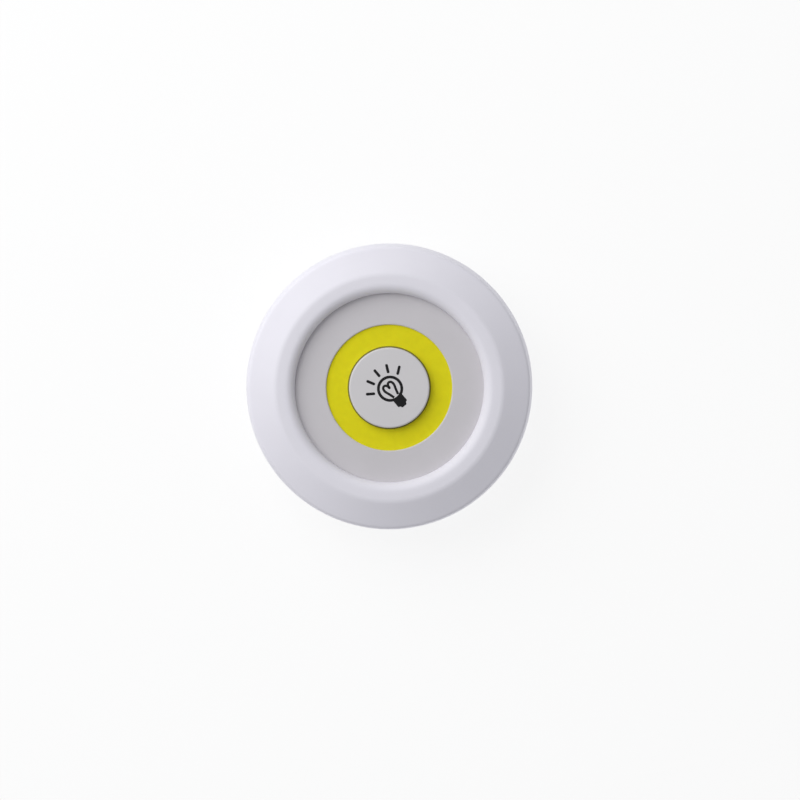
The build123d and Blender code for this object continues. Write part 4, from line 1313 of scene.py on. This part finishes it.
@dataclass(frozen=True)
class BackShell:
    """The back shell with its battery bay, thumb bay, screw posts and hanging holes."""

    radius: float = 43.7
    base_t: float = 2.0
    edge: float = 0.8
    lip: Span = (40.7, 41.9)
    lip_top: float = 5.0
    bay: Span = (16.6, 24.6)
    bay_wall: float = 1.6
    ceiling: Span = (12.8, 14.0)
    recess: Span = (17.4, 25.4)
    recess_z: float = 1.75
    thumb: Span = (5.7, 30.6)
    thumb_z: float = 8.0
    thumb_wall: float = 1.2
    keeper: Span = (2.0, 3.6)
    hinge_x: float = 5.5
    window_half: float = 2.1
    window_top: float = 3.9
    rib_degs: tuple[int, ...] = (22, 68, 112, 158, 202, 248, 292, 338)
    rib_t: float = 1.2
    post_r: float = 4.1
    post_top: float = 9.0
    head: Span = (2.9, 6.5)
    shank_r: float = 1.5
    pad_top: float = 14.6
    pads: Span = (5.5, 14.006)
    keyhole_x: float = 29.0
    entry_r: float = 3.75
    slot_r: float = 1.9
    slot_rise: float = 5.0
    mark_r: float = 1.6
    clear: float = 0.02

    def plate(self) -> Piece:
        """Turns the back wall with its eased edge and the lip that nests in the bezel."""
        low, high = self.lip
        plate = turned([
            (0, 0),
            (self.radius - self.edge, 0, 0.4),
            (self.radius, self.edge, 0.4),
            (self.radius, self.base_t, 0.1),
            (high, self.base_t),
            (high, self.lip_top, 0.3),
            (low, self.lip_top, 0.3),
            (low, self.base_t, 0.3),
            (0, self.base_t),
        ], steps=256, closed=False)
        flatten(plate)
        return plate

    def posts(self) -> list[Span]:
        """The places of the four screw posts."""
        shell = FrontShell()
        return [(shell.post_ring * cos(radians(deg)), shell.post_ring * sin(radians(deg)))
                for deg in shell.post_degs]

    def walls(self) -> list[list[Piece]]:
        """Builds the bays' walls, the ribs, the screw posts and the board's pads.

        Returns:
            Groups of parts that stay apart within a group.
        """
        wall_x, wall_y = (half + self.bay_wall for half in self.bay)
        foot, thumb_x = self.base_t / 2, self.thumb[0] + self.thumb_wall
        block = bar((-wall_x, wall_x), (-wall_y, wall_y), (foot, self.ceiling[1]), 0.3)
        thumb = bar((-thumb_x, thumb_x), (self.bay[1], self.thumb[1] + self.thumb_wall),
                    (foot, self.thumb_z + self.thumb_wall), 0.3)
        rib = bar((self.bay[0], self.lip[1] - 0.6), (-self.rib_t / 2, self.rib_t / 2),
                  (foot, self.lip_top - 0.1), 0.15)
        parts = [again(rib, angle) for angle in self.rib_degs]
        bpy.data.objects.remove(rib)
        parts += [peg(x, y, (foot, self.post_top), self.post_r, 48) for x, y in self.posts()]
        parts += [peg(side * self.pads[0], end * self.pads[1],
                      (self.ceiling[0] + 0.5, self.pad_top), 2.2)
                  for side in (1, -1) for end in (1, -1)]
        return [[block], [thumb], parts]

    def hollows(self) -> list[list[Piece]]:
        """Makes the tools that cut the back shell, in groups whose tools stay apart.

        Returns:
            The groups, in the order in which they cut.
        """
        (bay_x, bay_y), (edge_x, edge_y) = self.bay, self.recess
        thumb_x, thumb_y = self.thumb
        wall_y, near = bay_y + self.bay_wall, self.clear
        inner = (near - thumb_x, thumb_x - near)
        groups = [
            [bar((-bay_x, bay_x), (-bay_y, bay_y), (-1, self.ceiling[0]))],
            [mould((-edge_x, edge_x), (-edge_y, edge_y), self.recess_z)],
            [mould((-thumb_x, thumb_x), (bay_y - 1, thumb_y), self.recess_z + near)],
            [bar(inner, (wall_y, thumb_y - near), (1, self.thumb_z))],
            [bar((near + inner[0], inner[1] - near), (28, thumb_y + 0.6), self.keeper)],
        ]
        for x, y in self.posts():
            groups[1].append(drill(x, y, self.head[1], self.head[0]))
            groups[2].append(peg(x, y, (1, self.post_top + 1), self.shank_r))
        for side in (1, -1):
            x, half = side * self.keyhole_x, self.slot_r - near
            groups[1].append(drill(x, 0, 3, self.entry_r))
            groups[2].append(drill(x, self.slot_rise, 3, self.slot_r))
            groups[3].append(mould((x - half, x + half), (0, self.slot_rise), 3))
            groups[2].append(drill(side * 21, -34, 0.1, self.mark_r, 0.05))
            groups[2].append(drill(side * 13, 37, 0.1, self.mark_r, 0.05))
            window = drawn([
                (1 - bay_y, self.recess_z - near),
                (1 - bay_y, self.window_top),
                (-wall_y - 1, self.window_top),
                (-wall_y - 1, self.base_t + near),
                (-edge_y - near, self.base_t + near),
                (-edge_y - near, self.recess_z - near),
            ], 2 * self.window_half)
            window.location.x = side * self.hinge_x * MM
            settle(window)
            groups[3].append(window)
        return groups

    def inside(self) -> list[list[Piece]]:
        """Builds the fins between the cells, the contact rails and the board's screw bosses.

        Returns:
            Groups of parts that stay apart within a group.
        """
        roof, fins, bosses = self.ceiling[1] - 0.4, [], []
        for side in (1, -1):
            middle = side * self.hinge_x
            fins.append(bar((middle - 0.4, middle + 0.4), (-19.85, 19.85), (9.5, roof), 0.12))
            bosses.append(peg(middle, side * self.pads[1], (11, roof - 0.1), 1.6))
        rail = bar((-6.8, -6.0), (self.bay[1] - 1, self.bay[1] + 1), (3.75, roof), 0.12)
        return [[*fins, rail, again(rail, 180)], bosses]

    def holes(self) -> list[Piece]:
        """Makes the tools for the board's screws and the solder tabs."""
        tools = [peg(side * self.pads[0], side * self.pads[1], (11.6, 15.6), 0.9)
                 for side in (1, -1)]
        slot = bar((-12.45, -9.55), (self.bay[1] - 0.5, self.bay[1] + self.clear), (12, 15))
        return [*tools, slot, again(slot, 180)]

    def build(self) -> None:
        """Builds the back shell and its door."""
        shell = self.plate()
        for group in self.walls():
            shell = work(shell, together(group), Join.ADD)
        for group in self.hollows():
            shell = work(shell, together(group), Join.CUT)
        for group in self.inside():
            shell = work(shell, together(group), Join.ADD)
        shell = work(shell, together(self.holes()), Join.CUT)
        deliver(shell, "back_shell", WHITE_PLASTIC, stands_for=["rear_housing"])
        BatteryDoor().build()


@dataclass(frozen=True)
class BatteryDoor:
    """The flush door of the battery bay, with hinge tongues, thumb catch and grip."""

    half: Span = (17.2, 25.2)
    faces: Span = (0.3, 1.7)
    neck_x: float = 5.3
    catch: Span = (27.2, 30.4)
    catch_t: float = 0.8
    catch_top: float = 6.5
    barb: Span = (2.15, 3.05)
    hinge_x: float = 5.5
    tongue_half: float = 1.8
    tongue: Span = (2.05, 3.2)
    rib_half: Span = (0.5, 20.0)
    grip_y: tuple[float, ...] = (13.0, 14.6, 16.2, 17.8)
    grip_z: float = 0.06
    clear: float = 0.03

    def leaf(self) -> Piece:
        """Builds the door's leaf with its outer edges eased."""
        half_x, half_y = self.half
        leaf = bar((-half_x, half_x), (-half_y, half_y), self.faces)
        edit(leaf)
        pick_edges(lambda a, b: max(a.z, b.z) < self.faces[0] + 0.1)
        bpy.ops.mesh.bevel(offset=0.25 * MM, segments=3, affect="EDGES")
        bpy.ops.object.mode_set(mode="OBJECT")
        return leaf

    def loop(self) -> Piece:
        """Builds the springy loop of the catch, open towards the back."""
        low, high = self.catch
        wall, top = self.catch_t, self.catch_top
        bend = (high - low) / 2
        return drawn([
            (low, 1.0),
            (low, top, bend - 0.05),
            (high, top, bend - 0.05),
            (high, self.faces[0], 0.2),
            (high - wall, self.faces[0], 0.2),
            (high - wall, top - wall, bend - wall - 0.05),
            (low + wall, top - wall, bend - wall - 0.05),
            (low + wall, 1.0),
        ], 2 * self.neck_x)

    def fittings(self) -> list[list[Piece]]:
        """Builds the catch, its neck and barb, the hinge tongues and the ribs inside the door.

        Returns:
            Groups of parts that stay apart within a group.
        """
        foot, neck = sum(self.faces) / 2, self.catch[0] + self.catch_t
        near = self.clear
        first = [self.loop()]
        second = [
            bar((near - self.neck_x, self.neck_x - near), (self.half[1] - 0.8, neck - near),
                (self.faces[0] + near, self.faces[1] - near), 0.15),
            bar((-self.neck_x / 2, self.neck_x / 2), (self.catch[1] - 0.4, self.catch[1] + 0.11),
                self.barb, 0.08),
        ]
        for side in (1, -1):
            x = side * self.hinge_x
            span = (x - self.tongue_half, x + self.tongue_half)
            inner = 1.2 - self.half[1]
            first.append(bar((span[0] + near, span[1] - near),
                             (near - self.half[1], inner - near), (foot, self.tongue[1] - 0.3)))
            second.append(bar(span, (-self.half[1] - 2, inner), self.tongue, 0.2))
            wide, long = self.rib_half
            second.append(bar((x - wide, x + wide), (-long, long), (foot, self.tongue[1]), 0.15))
        return [first, second]

    def grip(self) -> list[Piece]:
        """Builds the raised ridges and the arrow that show where a thumb goes."""
        foot, parts = self.faces[0] + 0.1, []
        for y in self.grip_y:
            ridge = bar((-6, 6), (y - 0.4, y + 0.4), (self.grip_z, foot))
            edit(ridge)
            pick_edges(lambda a, b: max(a.z, b.z) < self.grip_z + 0.1)
            bpy.ops.mesh.bevel(offset=0.18 * MM, segments=3, affect="EDGES")
            bpy.ops.object.mode_set(mode="OBJECT")
            parts.append(ridge)
        arrow = around(peg(0, 0, (self.grip_z, foot), 2.0, 3, 2.3), 0)
        arrow.location.y = 21.5 * MM
        settle(arrow)
        return [*parts, arrow]

    def build(self) -> None:
        """Builds the door."""
        door = self.leaf()
        for group in (*self.fittings(), self.grip()):
            door = work(door, together(group), Join.ADD)
        deliver(door, "door", WHITE_PLASTIC, Body.DOOR, ["battery_door"])


@dataclass(frozen=True)
class Studio:
    """The floor, the light and the camera of the photograph."""

    centre_px: Span = (389.32, 386.44)
    mm_per_px: float = 0.3077
    frame_px: int = 800
    distance: float = 3000.0
    sensor: float = 36.0
    lean: Span = (0.0, 0.021)
    foot_z: float = 2.0
    key_deg: float = 140.0
    key_height_deg: float = 43.0
    key: float = 2.07
    key_d: float = 900.0
    key_away: float = 800.0
    sky: float = 0.355
    bounce: float = 0.9

    def camera(self) -> None:
        """Looks down from far away, leaning a little, framed as the photograph is."""
        toward = Vector((*self.lean, 1)).normalized()
        half = self.frame_px / 2
        right = Vector((1, 0, 0))
        up = toward.cross(right).normalized()
        aim = (Vector((0, 0, self.foot_z))
               + right * (half - self.centre_px[0]) * self.mm_per_px
               + up * (self.centre_px[1] - half) * self.mm_per_px)
        data = bpy.data.cameras.new("camera")
        data.sensor_width = self.sensor
        data.lens = self.sensor * self.distance / (self.frame_px * self.mm_per_px)
        data.clip_start = 0.05
        data.clip_end = 20
        camera = bpy.data.objects.new("camera", data)
        camera.matrix_world = (Matrix.Translation((aim + toward * self.distance) * MM)
                               @ Matrix((right, up, toward)).transposed().to_4x4())
        bpy.context.scene.collection.objects.link(camera)
        bpy.context.scene.camera = camera

    def softbox(self) -> None:
        """Hangs one broad round lamp up to the left, so strong that it gives its light here."""
        around_z, height = radians(self.key_deg), radians(self.key_height_deg)
        toward = Vector((cos(around_z) * cos(height), sin(around_z) * cos(height), sin(height)))
        radius, away = self.key_d / 2 * MM, self.key_away * MM
        data = bpy.data.lights.new("softbox", "AREA")
        data.shape = "DISK"
        data.size = 2 * radius
        data.energy = self.key * pi * (radius ** 2 + away ** 2)
        lamp = bpy.data.objects.new("softbox", data)
        lamp.rotation_euler = toward.to_track_quat("Z", "Y").to_euler()
        lamp.location = toward * away
        lamp.visible_camera = False
        bpy.context.scene.collection.objects.link(lamp)

    def seen_share(self, tree: bpy.types.NodeTree) -> bpy.types.NodeSocket:
        """Adds the share of rays that see the white background.

        Args:
            tree: The nodes of the floor or the world.

        Returns:
            1 for camera, gloss and see-through rays, 0 for the rest.
        """
        path = tree.nodes.new("ShaderNodeLightPath")
        total = path.outputs["Is Camera Ray"]
        for name in ("Is Glossy Ray", "Is Transmission Ray"):
            adder = tree.nodes.new("ShaderNodeMath")
            adder.operation = "MAXIMUM"
            tree.links.new(total, adder.inputs[0])
            tree.links.new(path.outputs[name], adder.inputs[1])
            total = adder.outputs["Value"]
        return total

    def floor(self) -> None:
        """Lays a sheet that looks white, takes the object's shadow and hides nothing under it."""
        hold()
        bpy.ops.mesh.primitive_plane_add(size=8, location=(0, 0, -0.1 * MM))
        floor = bpy.context.object
        floor.name = "floor"
        paint = bpy.data.materials.new("floor_white")
        paint.use_nodes = True
        tree = paint.node_tree
        tree.nodes.clear()
        clear = tree.nodes.new("ShaderNodeBsdfTransparent")
        shade = tree.nodes.new("ShaderNodeBsdfDiffuse")
        shade.inputs["Color"].default_value = (1, 1, 1, 1)
        sheet = tree.nodes.new("ShaderNodeMixShader")
        sheet.inputs["Fac"].default_value = 0.14
        tree.links.new(clear.outputs["BSDF"], sheet.inputs[1])
        tree.links.new(shade.outputs["BSDF"], sheet.inputs[2])
        mix = tree.nodes.new("ShaderNodeMixShader")
        tree.links.new(self.seen_share(tree), mix.inputs["Fac"])
        tree.links.new(clear.outputs["BSDF"], mix.inputs[1])
        tree.links.new(sheet.outputs["Shader"], mix.inputs[2])
        out = tree.nodes.new("ShaderNodeOutputMaterial")
        tree.links.new(mix.outputs["Shader"], out.inputs["Surface"])
        floor.data.materials.append(paint)

    def world(self) -> None:
        """Fills the room with soft light, brighter from the floor, seen as white."""
        world = bpy.data.worlds.new("studio")
        bpy.context.scene.world = world
        world.use_nodes = True
        tree = world.node_tree
        place = tree.nodes.new("ShaderNodeTexCoord")
        parts = tree.nodes.new("ShaderNodeSeparateXYZ")
        tree.links.new(place.outputs["Generated"], parts.inputs["Vector"])
        level = tree.nodes.new("ShaderNodeMapRange")
        for socket, value in (("From Min", -0.1), ("From Max", 0.1), ("To Min", self.bounce),
                              ("To Max", self.sky)):
            level.inputs[socket].default_value = value
        tree.links.new(parts.outputs["Z"], level.inputs["Value"])
        soft = tree.nodes["Background"]
        soft.inputs["Color"].default_value = (0.97, 0.98, 1.0, 1)
        tree.links.new(level.outputs["Result"], soft.inputs["Strength"])
        white = tree.nodes.new("ShaderNodeBackground")
        white.inputs["Color"].default_value = (1, 1, 1, 1)
        white.inputs["Strength"].default_value = 1.0
        mix = tree.nodes.new("ShaderNodeMixShader")
        tree.links.new(self.seen_share(tree), mix.inputs["Fac"])
        tree.links.new(soft.outputs["Background"], mix.inputs[1])
        tree.links.new(white.outputs["Background"], mix.inputs[2])
        tree.links.new(mix.outputs["Shader"], tree.nodes["World Output"].inputs["Surface"])

    def build(self) -> None:
        """Sets up the whole studio."""
        bpy.context.scene.view_settings.view_transform = "Standard"
        self.camera()
        self.softbox()
        self.floor()
        self.world()


def main() -> None:
    """Builds the light, sub-assembly by sub-assembly, and its studio."""
    logging.basicConfig(level=logging.INFO, format="%(message)s")
    Studio().build()
    for part in (FrontShell(), RingLight(), PushButton(), Electronics(), Fasteners(),
                 BatteryBay(), BackShell()):
        part.build()
        log.info("%s built", type(part).__name__)
    hold()


if __name__ == "__main__":
    main()
